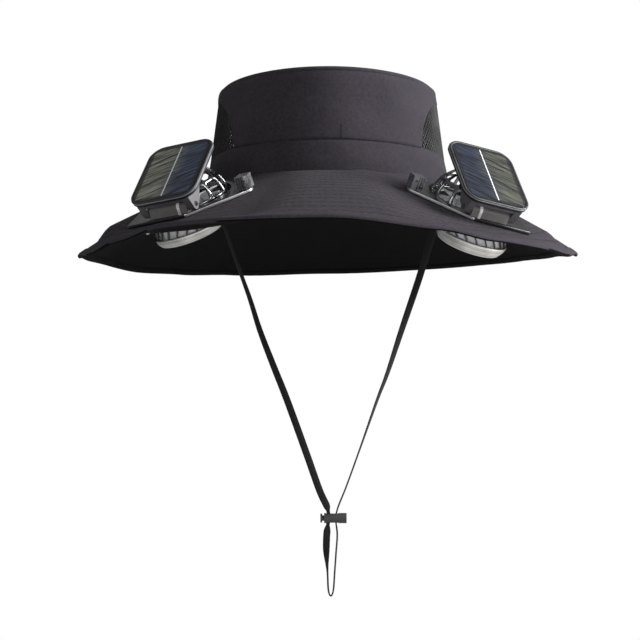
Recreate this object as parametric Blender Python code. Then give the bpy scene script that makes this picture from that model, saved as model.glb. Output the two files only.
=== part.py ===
"""Wide-brimmed sun hat with two fan units set in its brim, each with a hinged solar panel.

Metres, +Z up, -Y is the front. The origin is the middle of the head opening, in the seam of crown and brim.
"""

import math

import bmesh
import bpy
from mathutils import Matrix, Vector

MM = 0.001
GAP = 0.3 * MM  # between pieces that touch on the real hat

# Hat body, sizes in millimetres
HEAD_HALF_X, HEAD_HALF_Y = 84.0, 100.0
TOP_HALF_X, TOP_HALF_Y = 75.0, 91.0
CROWN_HEIGHT = 71.0
TOP_RISE = 4.0
TOP_EDGE_ROUND = 4.0
SEAM_HEIGHT = 21.0
CLOTH = 1.6
BRIM_HALF_X, BRIM_HALF_Y = 170.0, 190.0
BRIM_DROP = 41.0
BRIM_CLOTH = 2.0
EDGE_WIDTH = 6.0
EDGE_THICKNESS = 3.0
VENT_HALF_LENGTH = 63.0
VENT_HEIGHT = 41.0
VENT_ROUNDNESS = 2.4
VENT_END_HEIGHT = 0.8
NET_THICKNESS = 1.2
CROWN_COLUMNS = 64
BRIM_COLUMNS = 80

# Brim profile: share of the width, share of the drop; the unit's flat seat fades in and out over it
BRIM_ROWS = (0.0, 0.035, 0.08, 0.2, 0.34, 0.48, 0.62, 0.76, 0.91, 1.0)

# How far the rim hangs, as a share of the drop: degrees round from the front, left side, right side
RIM_HANG = (
    (0, 1.00, 1.00), (20, 1.00, 1.12), (32, 1.01, 1.22), (45, 1.14, 1.24), (58, 1.25, 1.26), (75, 1.16, 1.14),
    (90, 1.07, 1.02), (106, 1.04, 0.92), (123, 1.07, 0.87), (140, 1.02, 0.85), (155, 0.96, 0.85), (180, 0.88, 0.88),
)
BRIM_STRAIGHT = 0.66
SEAT_FADE_IN, SEAT_FADE_OUT = 0.075, 0.86
SEAT_FRONT_ANGLE, SEAT_FRONT_FADE = math.radians(24), math.radians(40)
SEAT_BACK_ANGLE, SEAT_BACK_FADE = math.radians(13), math.radians(23)

# Fan unit, in its own frame: X outward, Y to the hat's front, Z up out of the brim, origin at the ball's centre
UNIT_CENTRES = {-1: (-86.0, -95.0, -21.0), 1: (88.2, -95.0, -22.9)}  # the right one sits a little lower
UNIT_UPS = {-1: (-0.28, -0.381, 0.881), 1: (0.328, -0.381, 0.864)}
UNIT_TURN = math.radians(19.7)
SEAT_HEIGHT = 1.6
BALL_RADIUS = 27.0
BALL_WALL = 1.8
BALL_CLEARANCE = 0.9
COLLAR_WALL = 2.0
COLLAR_DEPTH = 7.0
FLANGE_THICKNESS = 2.0
FLANGE_MARGIN = 1.5
FLANGE_TIP, FLANGE_TIP_RADIUS = (35.0, -24.5), 2.5
PIVOT_RADIUS = 1.6
PIVOT_CLEARANCE = 0.3
BALL_TILTS = {-1: math.radians(-3), 1: math.radians(1)}
CAGE_COLUMNS = 24
CAGE_RIB_SHARE = 0.2
CAGE_POLAR_DEGREES = (13, 26, 40, 54, 60, 70, 79, 84)
CAGE_SOLID_ROWS = (3, 6)
SHROUD_COLUMNS = 44
SHROUD_RIB_SHARE = 0.2
SHROUD_POLAR_DEGREES = (85.4, 96, 105, 112, 118)
SHROUD_SOLID_ROWS = (0,)
OUTLET_RINGS = ((22.6, -15.2), (20.4, -18.2))  # distance from the axis, height
OUTLET_SHIFTS = {-1: 7.2, 1: 9.2}  # the outlet's middle lies this far off the ball's axis, away from the clip
OUTLET_SHIFT_TOP = -3.5
LOWER_HALF_STRETCH = {-1: 1.0, 1: 1.25}  # the right ball reaches further below the brim
MOTOR_RADIUS = 8.0
MOTOR_LOW, MOTOR_HIGH = -13.4, -1.0
GUARD_THICKNESS = 2.0
GUARD_MARGIN = 0.5
SPOKES = 3
SPOKE_HALF_WIDTH = 1.0
PIVOT_ROOT = 1.4
HUB_RADIUS = 8.5
HUB_HEIGHT = 8.0
HUB_EDGE = 1.6
BLADES = 7
BLADE_THICKNESS = 1.0
BLADE_RISE = 0.8

# Blade sections: distance from the axis, pitch in degrees, half the chord
BLADE_SECTIONS = ((7.0, 42, 3.6), (15.0, 33, 5.2), (21.5, 26, 5.8))

FLANGE_CORNER = 4.0
BASE_CORNER = 3.0
CLIP_CORNER = (-2.0, 38.5)
CLIP_LENGTH, CLIP_WIDTH, CLIP_HEIGHT = 7.6, 9.0, 8.5
CLIP_TEETH = 3
CLIP_TOOTH_DEPTH = 1.1
CLIP_RIBBED_SHARE = 0.62
CLIP_CHAMFER = 1.5
CLIP_HOLE_RADIUS, CLIP_HOLE_DROP, CLIP_HOLE_SHARE = 0.9, 2.6, 0.8

# Solar panel, in the unit's frame
PANEL_CENTRE = (14.7, 3.4, 28.1)
PANEL_TILT = math.radians(21.1)
PANEL_WIDTH, PANEL_LENGTH = 46.0, 55.0
PANEL_CORNER = 10.0
TRAY_THICKNESS = 3.2
TRAY_RIM = 2.0
GLASS_THICKNESS = 0.6
HINGE_X, HINGE_Z = 31.0, 9.2
KNUCKLE_RADIUS = 3.4
KNUCKLE_WIDTH = 26.0
PIN_RADIUS = 1.4
PIN_HEAD = 0.6
ARM_PLATE = 4.5
ARM_SIDE_GAP = 0.5
ARM_LOW_ANGLE, ARM_TOP_ANGLE = math.radians(24), math.radians(76)
ARM_LOW_END, ARM_HIGH_END = 1.5, 3.0
ARM_BALL_GAP = 0.8
BAR_INSET, BAR_LENGTH, BAR_THICKNESS = 0.5, 6.0, 2.2

# Chin strap and cord lock
CORD_RADIUS = 1.2
STRAP_POINTS = 78
STRAP_ROUTE = (
    (-78.9, 14.0), (-79.6, 6.0), (-79.8, -2.0), (-77.0, -12.0), (-72.1, -21.5), (-66.0, -38.5),
    (-59.7, -55.8), (-53.5, -73.0), (-46.9, -93.8), (-37.8, -117.5), (-28.0, -142.0), (-14.5, -179.0),
    (-5.6, -204.0), (-0.2, -216.0), (0.5, -224.0), (-0.6, -234.0), (-0.9, -246.0), (-0.1, -260.0),
    (0.5, -272.0), (2.2, -275.8), (3.9, -272.0), (4.8, -260.0), (5.8, -246.0), (6.6, -234.0),
    (5.6, -224.0), (7.0, -216.0), (13.0, -201.0), (22.9, -173.8), (34.2, -142.0), (41.5, -123.0),
    (51.2, -93.8), (60.7, -66.1), (65.2, -52.3), (70.7, -34.4), (74.4, -22.5), (78.2, -12.0),
    (79.8, -2.0), (79.6, 6.0), (78.9, 14.0),
)
LOCK_HEIGHT = -223.0
LOCK_RADIUS = 3.5
LOCK_LEFT, LOCK_RIGHT = -2.4, 13.0
LOCK_SLOT_LEFT, LOCK_SLOT_RIGHT = -1.2, 7.4
LOCK_SLOT_DEPTH = 3.4
BUTTON_HEAD_LEFT, BUTTON_HEAD_THICKNESS = -5.0, 1.3
BUTTON_HEAD_RADIUS, BUTTON_STEM_RADIUS = 3.1, 1.9
BUTTON_STEM_END = -1.9

COLOURS = {
    "cloth": ((0.055, 0.052, 0.060), 0.9, 0.0),
    "net": ((0.020, 0.020, 0.022), 0.8, 0.0),
    "gloss_black": ((0.012, 0.012, 0.013), 0.18, 0.0),
    "chrome": ((0.40, 0.40, 0.41), 0.22, 1.0),
    "plated": ((0.42, 0.42, 0.43), 0.20, 1.0),
    "blades": ((0.62, 0.63, 0.64), 0.35, 0.0),
    "matte_black": ((0.030, 0.030, 0.033), 0.55, 0.0),
    "arm_grey": ((0.130, 0.125, 0.140), 0.5, 0.0),
    "solar": ((0.020, 0.024, 0.060), 0.12, 0.0),
    "cord": ((0.012, 0.012, 0.012), 0.85, 0.0),
}


def clear_scene():
    for obj in list(bpy.data.objects):
        bpy.data.objects.remove(obj, do_unlink=True)


def material(name):
    found = bpy.data.materials.get(name)
    if found:
        return found
    colour, roughness, metallic = COLOURS[name]
    made = bpy.data.materials.new(name)
    made.use_nodes = True
    shader = made.node_tree.nodes["Principled BSDF"]
    shader.inputs["Base Color"].default_value = (*colour, 1.0)
    shader.inputs["Roughness"].default_value = roughness
    shader.inputs["Metallic"].default_value = metallic
    return made


def add_object(name, mesh, finish, place=None, smooth=True):
    """One named piece from a bmesh in millimetres, set where its frame says."""
    bmesh.ops.scale(mesh, vec=(MM, MM, MM), verts=mesh.verts)
    bmesh.ops.recalc_face_normals(mesh, faces=mesh.faces)
    data = bpy.data.meshes.new(name)
    mesh.to_mesh(data)
    mesh.free()
    if smooth:
        data.shade_smooth()
        data.set_sharp_from_angle(angle=math.radians(35))
    obj = bpy.data.objects.new(name, data)
    bpy.context.scene.collection.objects.link(obj)
    if finish:
        data.materials.append(material(finish))
    if place is not None:
        obj.matrix_world = place
    return obj


def boolean(obj, other, operation="DIFFERENCE"):
    other.hide_render = True
    other.display_type = "WIRE"
    cut = obj.modifiers.new(other.name, "BOOLEAN")
    cut.operation = operation
    cut.object = other
    cut.solver = "EXACT"


def smoothstep(low, high, value):
    share = min(1.0, max(0.0, (value - low) / (high - low)))
    return share * share * (3.0 - 2.0 * share)


def mix(start, end, share):
    return start + (end - start) * share


def grid_sheet(rows, closed):
    """A sheet of quads through rows of points."""
    mesh = bmesh.new()
    verts = [[mesh.verts.new(point) for point in row] for row in rows]
    columns = len(rows[0])
    last = columns if closed else columns - 1
    for lower, upper in zip(verts, verts[1:]):
        for i in range(last):
            j = (i + 1) % columns
            mesh.faces.new((lower[i], lower[j], upper[j], upper[i]))
    return mesh


def thicken(obj, thickness, offset=0.0):
    solidify = obj.modifiers.new("thickness", "SOLIDIFY")
    solidify.thickness = thickness * MM
    solidify.offset = offset
    solidify.use_even_offset = True


def prism(outline, low, high):
    """An outline in the XY plane, filled and pulled from one height to another."""
    mesh = bmesh.new()
    face = mesh.faces.new([mesh.verts.new((x, y, low)) for x, y in outline])
    top = bmesh.ops.extrude_face_region(mesh, geom=[face])["geom"]
    moved = [v for v in top if isinstance(v, bmesh.types.BMVert)]
    bmesh.ops.translate(mesh, vec=(0, 0, high - low), verts=moved)
    return mesh


def rounded_rectangle(width, length, radius, steps=5):
    points = []
    for turn, (sx, sy) in enumerate(((1, 1), (-1, 1), (-1, -1), (1, -1))):
        for step in range(steps + 1):
            angle = math.pi / 2 * (turn + step / steps)
            x = sx * (width / 2 - radius) + radius * math.cos(angle)
            y = sy * (length / 2 - radius) + radius * math.sin(angle)
            points.append((x, y))
    return points


def circle(x, y, radius, count=40):
    turns = (2 * math.pi * i / count for i in range(count))
    return [(x + radius * math.cos(t), y + radius * math.sin(t)) for t in turns]


def hull(points):
    """The outline of a belt drawn tight round the points, anticlockwise."""
    def half(ordered):
        chain = []
        for p in ordered:
            while len(chain) > 1:
                (ax, ay), (bx, by) = chain[-2:]
                if (bx - ax) * (p[1] - ay) - (by - ay) * (p[0] - ax) > 1e-9:
                    break
                chain.pop()
            chain.append(p)
        return chain[:-1]
    ordered = sorted(set(points))
    return half(ordered) + half(ordered[::-1])


def cylinder(start, end, radius, count=32):
    start, end = Vector(start), Vector(end)
    along = end - start
    mesh = bmesh.new()
    bmesh.ops.create_cone(
        mesh, cap_ends=True, segments=count, radius1=radius, radius2=radius, depth=along.length)
    turn = Vector((0, 0, 1)).rotation_difference(along.normalized()).to_matrix().to_4x4()
    bmesh.ops.transform(mesh, matrix=Matrix.Translation((start + end) / 2) @ turn, verts=mesh.verts)
    return mesh


def crown_point(angle, height, inset=0.0):
    share = height / CROWN_HEIGHT
    x = mix(HEAD_HALF_X, TOP_HALF_X, share) - inset
    y = mix(HEAD_HALF_Y, TOP_HALF_Y, share) - inset
    return (x * math.cos(angle), y * math.sin(angle), height)


def angles(columns):
    return [2 * math.pi * i / columns for i in range(columns)]


def vent_height(angle):
    """Height of the vent's arch above the seam, at this angle round the crown."""
    along = abs(crown_point(angle, SEAM_HEIGHT)[1]) / VENT_HALF_LENGTH
    return VENT_HEIGHT * math.sqrt(1 - along ** VENT_ROUNDNESS) if along < 1 else 0.0


def vent_row(share, gap):
    """A row of the vent's points at this share of its height, drawn in to a blunt point at each end."""
    step = 2 * math.pi / CROWN_COLUMNS
    quarter = CROWN_COLUMNS // 4
    turns = [i * step for i in range(-quarter, quarter + 1) if vent_height(i * step) > 0.0]
    row = []
    for turn in turns:
        height = SEAM_HEIGHT + mix(gap, vent_height(turn) - gap, share)
        row.append(Vector(crown_point(turn, height, CLOTH / 2)))
    corner_height = SEAM_HEIGHT + mix(gap, -gap, share)
    drawn_in = 1 - (VENT_END_HEIGHT + 2 * gap) / vent_height(turns[0])
    first, last = [Vector(crown_point(t, corner_height, CLOTH / 2)) for t in (turns[0] - step, turns[-1] + step)]
    return [row[0].lerp(first, drawn_in), *row, row[-1].lerp(last, drawn_in)]


def build_crown():
    wall_rows = []
    top_of_wall = CROWN_HEIGHT - TOP_EDGE_ROUND * 0.5
    for share in (0.0, 0.34, 0.7, 1.0):
        row = []
        for a in angles(CROWN_COLUMNS):
            low = SEAM_HEIGHT + vent_height(a)
            row.append(crown_point(a, mix(low, top_of_wall, share)))
        wall_rows.append(row)
    wall = add_object("crown_wall", grid_sheet(wall_rows, True), "cloth")
    thicken(wall, CLOTH, -1.0)

    gap = GAP / MM
    band_rows = []
    for height in (BRIM_CLOTH / 2 + gap, SEAM_HEIGHT * 0.5, SEAM_HEIGHT - gap):
        band_rows.append([crown_point(a, height) for a in angles(CROWN_COLUMNS)])
    band = add_object("crown_band", grid_sheet(band_rows, True), "cloth")
    thicken(band, CLOTH, -1.0)

    mesh = bmesh.new()
    rings = []
    low = top_of_wall + gap
    for share in (1.0, 0.96, 0.72, 0.4):
        height = low + CLOTH + (TOP_RISE - CLOTH) * (1 - share ** 2)
        ring = [(TOP_HALF_X * share * math.cos(a), TOP_HALF_Y * share * math.sin(a), height)
                for a in angles(CROWN_COLUMNS)]
        rings.append([mesh.verts.new(point) for point in ring])
    for outer, inner in zip(rings, rings[1:]):
        for i in range(CROWN_COLUMNS):
            j = (i + 1) % CROWN_COLUMNS
            mesh.faces.new((outer[i], outer[j], inner[j], inner[i]))
    middle = mesh.verts.new((0, 0, low + TOP_RISE))
    for i in range(CROWN_COLUMNS):
        mesh.faces.new((rings[-1][i], rings[-1][(i + 1) % CROWN_COLUMNS], middle))
    top = add_object("crown_top", mesh, "cloth")
    thicken(top, CLOTH, -1.0)

    for side, name in ((-1, "vent_left"), (1, "vent_right")):
        rows = []
        for share in (0.0, 0.5, 1.0):
            rows.append([(side * x, y, z) for x, y, z in vent_row(share, gap)])
        vent = add_object(name, grid_sheet(rows, False), "net")
        thicken(vent, NET_THICKNESS)


def unit_place(side):
    """The frame of a fan unit: side is -1 on the left and 1 on the right."""
    centre = Vector(UNIT_CENTRES[side])
    up = Vector(UNIT_UPS[side]).normalized()
    radial = Vector((centre.x, centre.y, 0)).normalized()
    outward = (radial - radial.dot(up) * up).normalized()
    outward = Matrix.Rotation(-side * UNIT_TURN, 3, up) @ outward
    across = up.cross(outward)
    turn = Matrix((outward, across, up)).transposed().to_4x4()
    return Matrix.Translation(centre * MM) @ turn


def seat_plane(side, x, y):
    """Height of the flat seat of a unit, above a point of the ground plan."""
    up = Vector(UNIT_UPS[side]).normalized()
    point = Vector(UNIT_CENTRES[side]) + SEAT_HEIGHT * up
    return point.z - ((x - point.x) * up.x + (y - point.y) * up.y) / up.z


def rim_hang(x, y):
    """The rim's hang in the direction of a point, read smoothly from the table."""
    turn = math.degrees(math.atan2(abs(x), -y))
    side = 1 if x < 0 else 2
    for low, high in zip(RIM_HANG, RIM_HANG[1:]):
        if turn <= high[0]:
            return mix(low[side], high[side], smoothstep(low[0], high[0], turn))
    return RIM_HANG[-1][side]


def brim_point(angle, share):
    x = mix(HEAD_HALF_X, BRIM_HALF_X, share) * math.cos(angle)
    y = mix(HEAD_HALF_Y, BRIM_HALF_Y, share) * math.sin(angle)
    z = -BRIM_DROP * rim_hang(x, y) * (BRIM_STRAIGHT * share + (1 - BRIM_STRAIGHT) * share ** 2)
    for side, (unit_x, unit_y, _) in UNIT_CENTRES.items():
        away = math.atan2(side * x, -y) - math.atan2(side * unit_x, -unit_y)
        pull = smoothstep(0.0, SEAT_FADE_IN, share) * (1 - smoothstep(SEAT_FADE_OUT, 1.0, share))
        pull *= 1 - smoothstep(SEAT_FRONT_ANGLE, SEAT_FRONT_FADE, -away)
        pull *= 1 - smoothstep(SEAT_BACK_ANGLE, SEAT_BACK_FADE, away)
        z = mix(z, seat_plane(side, x, y), pull)
    return (x, y, z)


def build_brim():
    gap = GAP / MM
    inner_share = 1 - EDGE_WIDTH / (BRIM_HALF_X - HEAD_HALF_X)
    end_share = inner_share - gap / (BRIM_HALF_X - HEAD_HALF_X)
    rows = [[brim_point(a, share * end_share) for a in angles(BRIM_COLUMNS)] for share in BRIM_ROWS]
    brim = add_object("brim", grid_sheet(rows, True), "cloth")
    thicken(brim, BRIM_CLOTH)
    hole = collar_radius() + gap
    for side, name in ((-1, "left"), (1, "right")):
        cutter = add_object(
            f"brim_cutter_{name}", cylinder((0, 0, -30), (0, 0, 30), hole, 40), None, unit_place(side))
        boolean(brim, cutter)

    rows = [[brim_point(a, share) for a in angles(BRIM_COLUMNS)] for share in (inner_share, 1.0)]
    edge = add_object("brim_edge", grid_sheet(rows, True), "cloth")
    thicken(edge, EDGE_THICKNESS)


def collar_radius():
    return BALL_RADIUS + BALL_CLEARANCE + COLLAR_WALL


def flange_low():
    return SEAT_HEIGHT + BRIM_CLOTH / 2 + GAP / MM


def flange_high():
    return flange_low() + FLANGE_THICKNESS


def sided(points, side):
    """The same outline on the right unit, whose Y runs to the hat's back."""
    return [(x, -side * y) for x, y in points]


def build_frame(side, name, place):
    ring = collar_radius() + FLANGE_MARGIN
    clip_x, clip_y = CLIP_CORNER
    outline = circle(0, 0, ring)
    end_y = clip_y + CLIP_LENGTH - FLANGE_CORNER
    outline += circle(clip_x + FLANGE_CORNER, end_y, FLANGE_CORNER, 12)
    outline += circle(clip_x + CLIP_WIDTH - FLANGE_CORNER, end_y, FLANGE_CORNER, 12)
    outline += circle(*FLANGE_TIP, FLANGE_TIP_RADIUS, 10)
    base_end = PANEL_CENTRE[1] + KNUCKLE_WIDTH / 2 - BASE_CORNER
    outline += circle(HINGE_X + 1.0, base_end, BASE_CORNER, 12)
    flange = prism(hull(sided(outline, side)), flange_low(), flange_high())
    frame = add_object(f"frame_{name}", flange, "gloss_black", place)
    low = flange_high() - COLLAR_DEPTH
    collar = add_object(
        f"collar_{name}", cylinder((0, 0, low), (0, 0, flange_high() - 0.5), collar_radius(), 40), None, place)
    boolean(frame, collar, "UNION")
    bore = BALL_RADIUS + BALL_CLEARANCE
    hole = add_object(f"bore_{name}", cylinder((0, 0, -20), (0, 0, 20), bore, 40), None, place)
    boolean(frame, hole)
    pivot = PIVOT_RADIUS + PIVOT_CLEARANCE
    reach = collar_radius() + 5
    holes = add_object(f"pivot_bore_{name}", cylinder((-reach, 0, 0), (reach, 0, 0), pivot, 16), None, place)
    boolean(frame, holes)


def build_clip(side, name, place):
    """The ribbed end block: its teeth stand on the face that looks outward."""
    x, y = CLIP_CORNER
    face = x + CLIP_WIDTH
    outline = [(x, y), (face, y)]
    pitch = CLIP_LENGTH * CLIP_RIBBED_SHARE / CLIP_TEETH
    for tooth in range(CLIP_TEETH):
        base = y + pitch * tooth
        root = face - CLIP_TOOTH_DEPTH
        outline += [(face, base + pitch * 0.5), (root, base + pitch * 0.55)]
        outline += [(root, base + pitch * 0.95), (face, base + pitch)]
    end = y + CLIP_LENGTH
    outline += [(face, end - CLIP_CHAMFER), (face - CLIP_CHAMFER, end), (x, end)]
    low = flange_high() + GAP / MM
    mesh = prism(sided(outline, side), low, low + CLIP_HEIGHT)
    clip = add_object(f"clip_{name}", mesh, "plated", place, smooth=False)
    middle = -side * (y + CLIP_LENGTH * CLIP_HOLE_SHARE)
    height = low + CLIP_HEIGHT - CLIP_HOLE_DROP
    hole = cylinder((face - CLIP_HOLE_DROP, middle, height), (face + 2, middle, height), CLIP_HOLE_RADIUS, 10)
    boolean(clip, add_object(f"clip_hole_{name}", hole, None, place))


def ball_profile(degrees):
    """Radius and height on the ball at each angle down from its pole."""
    return [(BALL_RADIUS * math.sin(math.radians(d)), BALL_RADIUS * math.cos(math.radians(d))) for d in degrees]


def lattice(columns, profile, solid_rows, rib_share):
    """A net of ribs round Z: every second column is a window but on the solid rows."""
    mesh = bmesh.new()
    step = 4 * math.pi / columns
    turns = [step * (i // 2) + (rib_share * step if i % 2 else 0.0) for i in range(columns)]
    rings = [[mesh.verts.new((r * math.cos(t), r * math.sin(t), z)) for t in turns] for r, z in profile]
    for row, (upper, lower) in enumerate(zip(rings, rings[1:])):
        for i in range(columns):
            if i % 2 and row not in solid_rows:
                continue
            j = (i + 1) % columns
            mesh.faces.new((upper[i], lower[i], lower[j], upper[j]))
    return mesh, rings


def build_cage(name, place):
    profile = ball_profile(CAGE_POLAR_DEGREES)
    mesh, rings = lattice(CAGE_COLUMNS, profile, CAGE_SOLID_ROWS, CAGE_RIB_SHARE)
    pole = mesh.verts.new((0, 0, BALL_RADIUS))
    for i in range(CAGE_COLUMNS):
        mesh.faces.new((pole, rings[0][i], rings[0][(i + 1) % CAGE_COLUMNS]))
    cage = add_object(f"fan_cage_{name}", mesh, "plated", place)
    thicken(cage, BALL_WALL, -1.0)


def outlet_shift(side, height):
    """How far the lower half's rings lie off the ball's axis: nothing at the collar, all of it at the outlet."""
    return side * OUTLET_SHIFTS[side] * smoothstep(OUTLET_SHIFT_TOP, OUTLET_RINGS[-1][1], height)


def lower_profile(side):
    """Radius and height of the lower half's rings, from the collar down to the outlet."""
    rings = ball_profile(SHROUD_POLAR_DEGREES) + list(OUTLET_RINGS)
    return [(r, z * LOWER_HALF_STRETCH[side] if z < 0 else z) for r, z in rings]


def radius_at(profile, height):
    for (high_radius, high), (low_radius, low) in zip(profile, profile[1:]):
        if height >= low:
            return mix(high_radius, low_radius, (height - high) / (low - high))
    return profile[-1][0]


def build_shroud(side, name, place):
    profile = lower_profile(side)
    solid_rows = (*SHROUD_SOLID_ROWS, len(profile) - 3, len(profile) - 2)
    mesh, _ = lattice(SHROUD_COLUMNS, profile, solid_rows, SHROUD_RIB_SHARE)
    for vert in mesh.verts:
        vert.co.y += outlet_shift(side, vert.co.z)
    shroud = add_object(f"fan_shroud_{name}", mesh, "plated", place)
    thicken(shroud, BALL_WALL, -1.0)
    low = MOTOR_LOW - GAP / MM - GUARD_THICKNESS
    guard = prism(circle(0, 0, MOTOR_RADIUS + GUARD_MARGIN, 20), low, low + GUARD_THICKNESS)
    disc = add_object(f"guard_{name}", guard, None, place)
    ring = radius_at(profile, low + GUARD_THICKNESS / 2) - BALL_WALL * 0.5
    off_axis = outlet_shift(side, low)
    half = SPOKE_HALF_WIDTH
    root = MOTOR_RADIUS / 2
    for spoke in range(SPOKES):
        turn = 2 * math.pi * spoke / SPOKES
        across = off_axis * math.cos(turn)
        reach = off_axis * math.sin(turn) + math.sqrt(ring ** 2 - across ** 2)
        outline = [(root, -half), (reach, -half), (reach, half), (root, half)]
        mesh = prism(outline, low + 0.2, low + GUARD_THICKNESS - 0.2)
        bmesh.ops.rotate(mesh, matrix=Matrix.Rotation(turn, 3, "Z"), verts=mesh.verts)
        arm = add_object(f"spoke_{name}_{spoke}", mesh, None, place)
        boolean(disc, arm, "UNION")
    boolean(shroud, disc, "UNION")
    for end in (-1, 1):
        start = (end * (BALL_RADIUS - PIVOT_ROOT), 0, 0)
        tip = (end * (collar_radius() - PIVOT_CLEARANCE), 0, 0)
        stub = add_object(f"pivot_{name}_{end + 1}", cylinder(start, tip, PIVOT_RADIUS, 12), None, place)
        boolean(shroud, stub, "UNION")


def build_rotor(side, name, place):
    low = MOTOR_HIGH + GAP / MM
    mesh = cylinder((0, 0, low), (0, 0, low + HUB_HEIGHT), HUB_RADIUS, 20)
    rim = [e for e in mesh.edges if all(v.co.z > low + HUB_HEIGHT - 0.1 for v in e.verts)]
    bmesh.ops.bevel(
        mesh, geom=rim, offset=HUB_EDGE, offset_type="OFFSET", segments=2, profile=0.5, affect="EDGES")
    rotor = add_object(f"rotor_{name}", mesh, "blades", place)
    for blade in range(BLADES):
        turn = 2 * math.pi * blade / BLADES
        rows = []
        for reach, pitch, half in BLADE_SECTIONS:
            slope = math.radians(pitch)
            edge = []
            for share in (-1, 1):
                across = share * half * math.cos(slope)
                up = low + HUB_HEIGHT * 0.5 + share * side * half * math.sin(slope) * BLADE_RISE
                length = math.sqrt(max(reach ** 2 - across ** 2, 0))
                edge.append((length, across, up))
            rows.append(edge)
        sheet = grid_sheet(rows, False)
        bmesh.ops.rotate(sheet, matrix=Matrix.Rotation(turn, 3, "Z"), verts=sheet.verts)
        wing = add_object(f"blade_{name}_{blade}", sheet, None, place)
        thicken(wing, BLADE_THICKNESS)
        boolean(rotor, wing, "UNION")
    shaft = cylinder((0, 0, MOTOR_LOW), (0, 0, MOTOR_HIGH), MOTOR_RADIUS, 20)
    add_object(f"motor_{name}", shaft, "chrome", place)


def panel_frame(side, place):
    """The panel's own frame: X along its hinge, Y up its slope, Z out of its face."""
    x, y, z = PANEL_CENTRE
    slope = Vector((-math.cos(PANEL_TILT), 0, math.sin(PANEL_TILT)))
    out = Vector((math.sin(PANEL_TILT), 0, math.cos(PANEL_TILT)))
    turn = Matrix((Vector((0, 1, 0)), slope, out)).transposed().to_4x4()
    return place @ Matrix.Translation(Vector((x, -side * y, z)) * MM) @ turn


def build_panel(side, name, place):
    frame = panel_frame(side, place)
    outline = rounded_rectangle(PANEL_WIDTH, PANEL_LENGTH, PANEL_CORNER)
    tray = add_object(f"panel_tray_{name}", prism(outline, -TRAY_THICKNESS, 0), "gloss_black", frame)
    gap = GAP / MM
    inner = rounded_rectangle(
        PANEL_WIDTH - 2 * TRAY_RIM, PANEL_LENGTH - 2 * TRAY_RIM, PANEL_CORNER - TRAY_RIM)
    floor = GLASS_THICKNESS + gap
    pocket = add_object(f"panel_pocket_{name}", prism(inner, -floor, 2), None, frame)
    boolean(tray, pocket)
    fitted = rounded_rectangle(
        PANEL_WIDTH - 2 * (TRAY_RIM + gap), PANEL_LENGTH - 2 * (TRAY_RIM + gap), PANEL_CORNER - TRAY_RIM - gap)
    add_object(f"solar_cells_{name}", prism(fitted, -GLASS_THICKNESS, 0), "solar", frame)


def side_prism(outline, low, high):
    """An outline in the XZ plane, pulled along Y."""
    mesh = prism([(x, -z) for x, z in outline], low, high)
    bmesh.ops.rotate(mesh, matrix=Matrix.Rotation(-math.pi / 2, 3, "X"), verts=mesh.verts)
    return mesh


def behind_panel(along, depth):
    """A point of the unit's XZ plane, from a place up the panel's slope and a depth behind its face."""
    x = PANEL_CENTRE[0] - along * math.cos(PANEL_TILT) - depth * math.sin(PANEL_TILT)
    z = PANEL_CENTRE[2] + along * math.sin(PANEL_TILT) - depth * math.cos(PANEL_TILT)
    return (x, z)


def arc(x, z, radius, start, end, steps):
    turns = (mix(start, end, i / steps) for i in range(steps + 1))
    return [(x + radius * math.cos(t), z + radius * math.sin(t)) for t in turns]


def build_arm(side, name, place):
    """Two cheeks that carry the tray, cut round the ball, joined by a bar under the tray."""
    depth = TRAY_THICKNESS + GAP / MM
    low_end = -PANEL_LENGTH / 2 + ARM_LOW_END
    inner = KNUCKLE_WIDTH / 2 + ARM_SIDE_GAP
    outer = inner + ARM_PLATE
    keep = BALL_RADIUS - ARM_BALL_GAP
    outline = arc(HINGE_X, HINGE_Z, KNUCKLE_RADIUS, math.radians(190), math.radians(345), 7)
    outline += [behind_panel(low_end, depth)]
    outline += [behind_panel(ARM_HIGH_END, depth)]
    outline += arc(0, 0, keep, ARM_TOP_ANGLE, ARM_LOW_ANGLE, 7)
    middle = -side * PANEL_CENTRE[1]
    arm = add_object(
        f"panel_arm_{name}", side_prism(outline, middle + inner, middle + outer), "arm_grey", place)
    other = add_object(
        f"panel_cheek_{name}", side_prism(outline, middle - outer, middle - inner), None, place)
    bar_low, bar_high = low_end + BAR_INSET, low_end + BAR_INSET + BAR_LENGTH
    bar_front, bar_back = depth + BAR_INSET, depth + BAR_INSET + BAR_THICKNESS
    bar_outline = [behind_panel(bar_low, bar_front), behind_panel(bar_high, bar_front),
                   behind_panel(bar_high, bar_back), behind_panel(bar_low, bar_back)]
    bar = add_object(
        f"panel_bar_{name}", side_prism(bar_outline, middle - inner - 1, middle + inner + 1), None, place)
    boolean(bar, other, "UNION")
    boolean(arm, bar, "UNION")
    reach = outer + 5
    bore = add_object(
        f"pin_bore_{name}",
        cylinder((HINGE_X, middle - reach, HINGE_Z), (HINGE_X, middle + reach, HINGE_Z),
                 PIN_RADIUS + PIVOT_CLEARANCE, 16), None, place)
    boolean(arm, bore)

    half = KNUCKLE_WIDTH / 2
    foot = flange_high() + GAP / MM
    block = arc(HINGE_X, HINGE_Z, KNUCKLE_RADIUS, 0, math.pi, 10)
    block += [(HINGE_X - KNUCKLE_RADIUS, foot), (HINGE_X + KNUCKLE_RADIUS, foot)]
    knuckle = add_object(
        f"panel_base_{name}", side_prism(block, middle - half, middle + half), "matte_black", place)
    boolean(knuckle, bore)
    ends = outer + PIN_HEAD
    pin = cylinder((HINGE_X, middle - ends, HINGE_Z), (HINGE_X, middle + ends, HINGE_Z), PIN_RADIUS, 12)
    add_object(f"hinge_pin_{name}", pin, "chrome", place)


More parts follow.
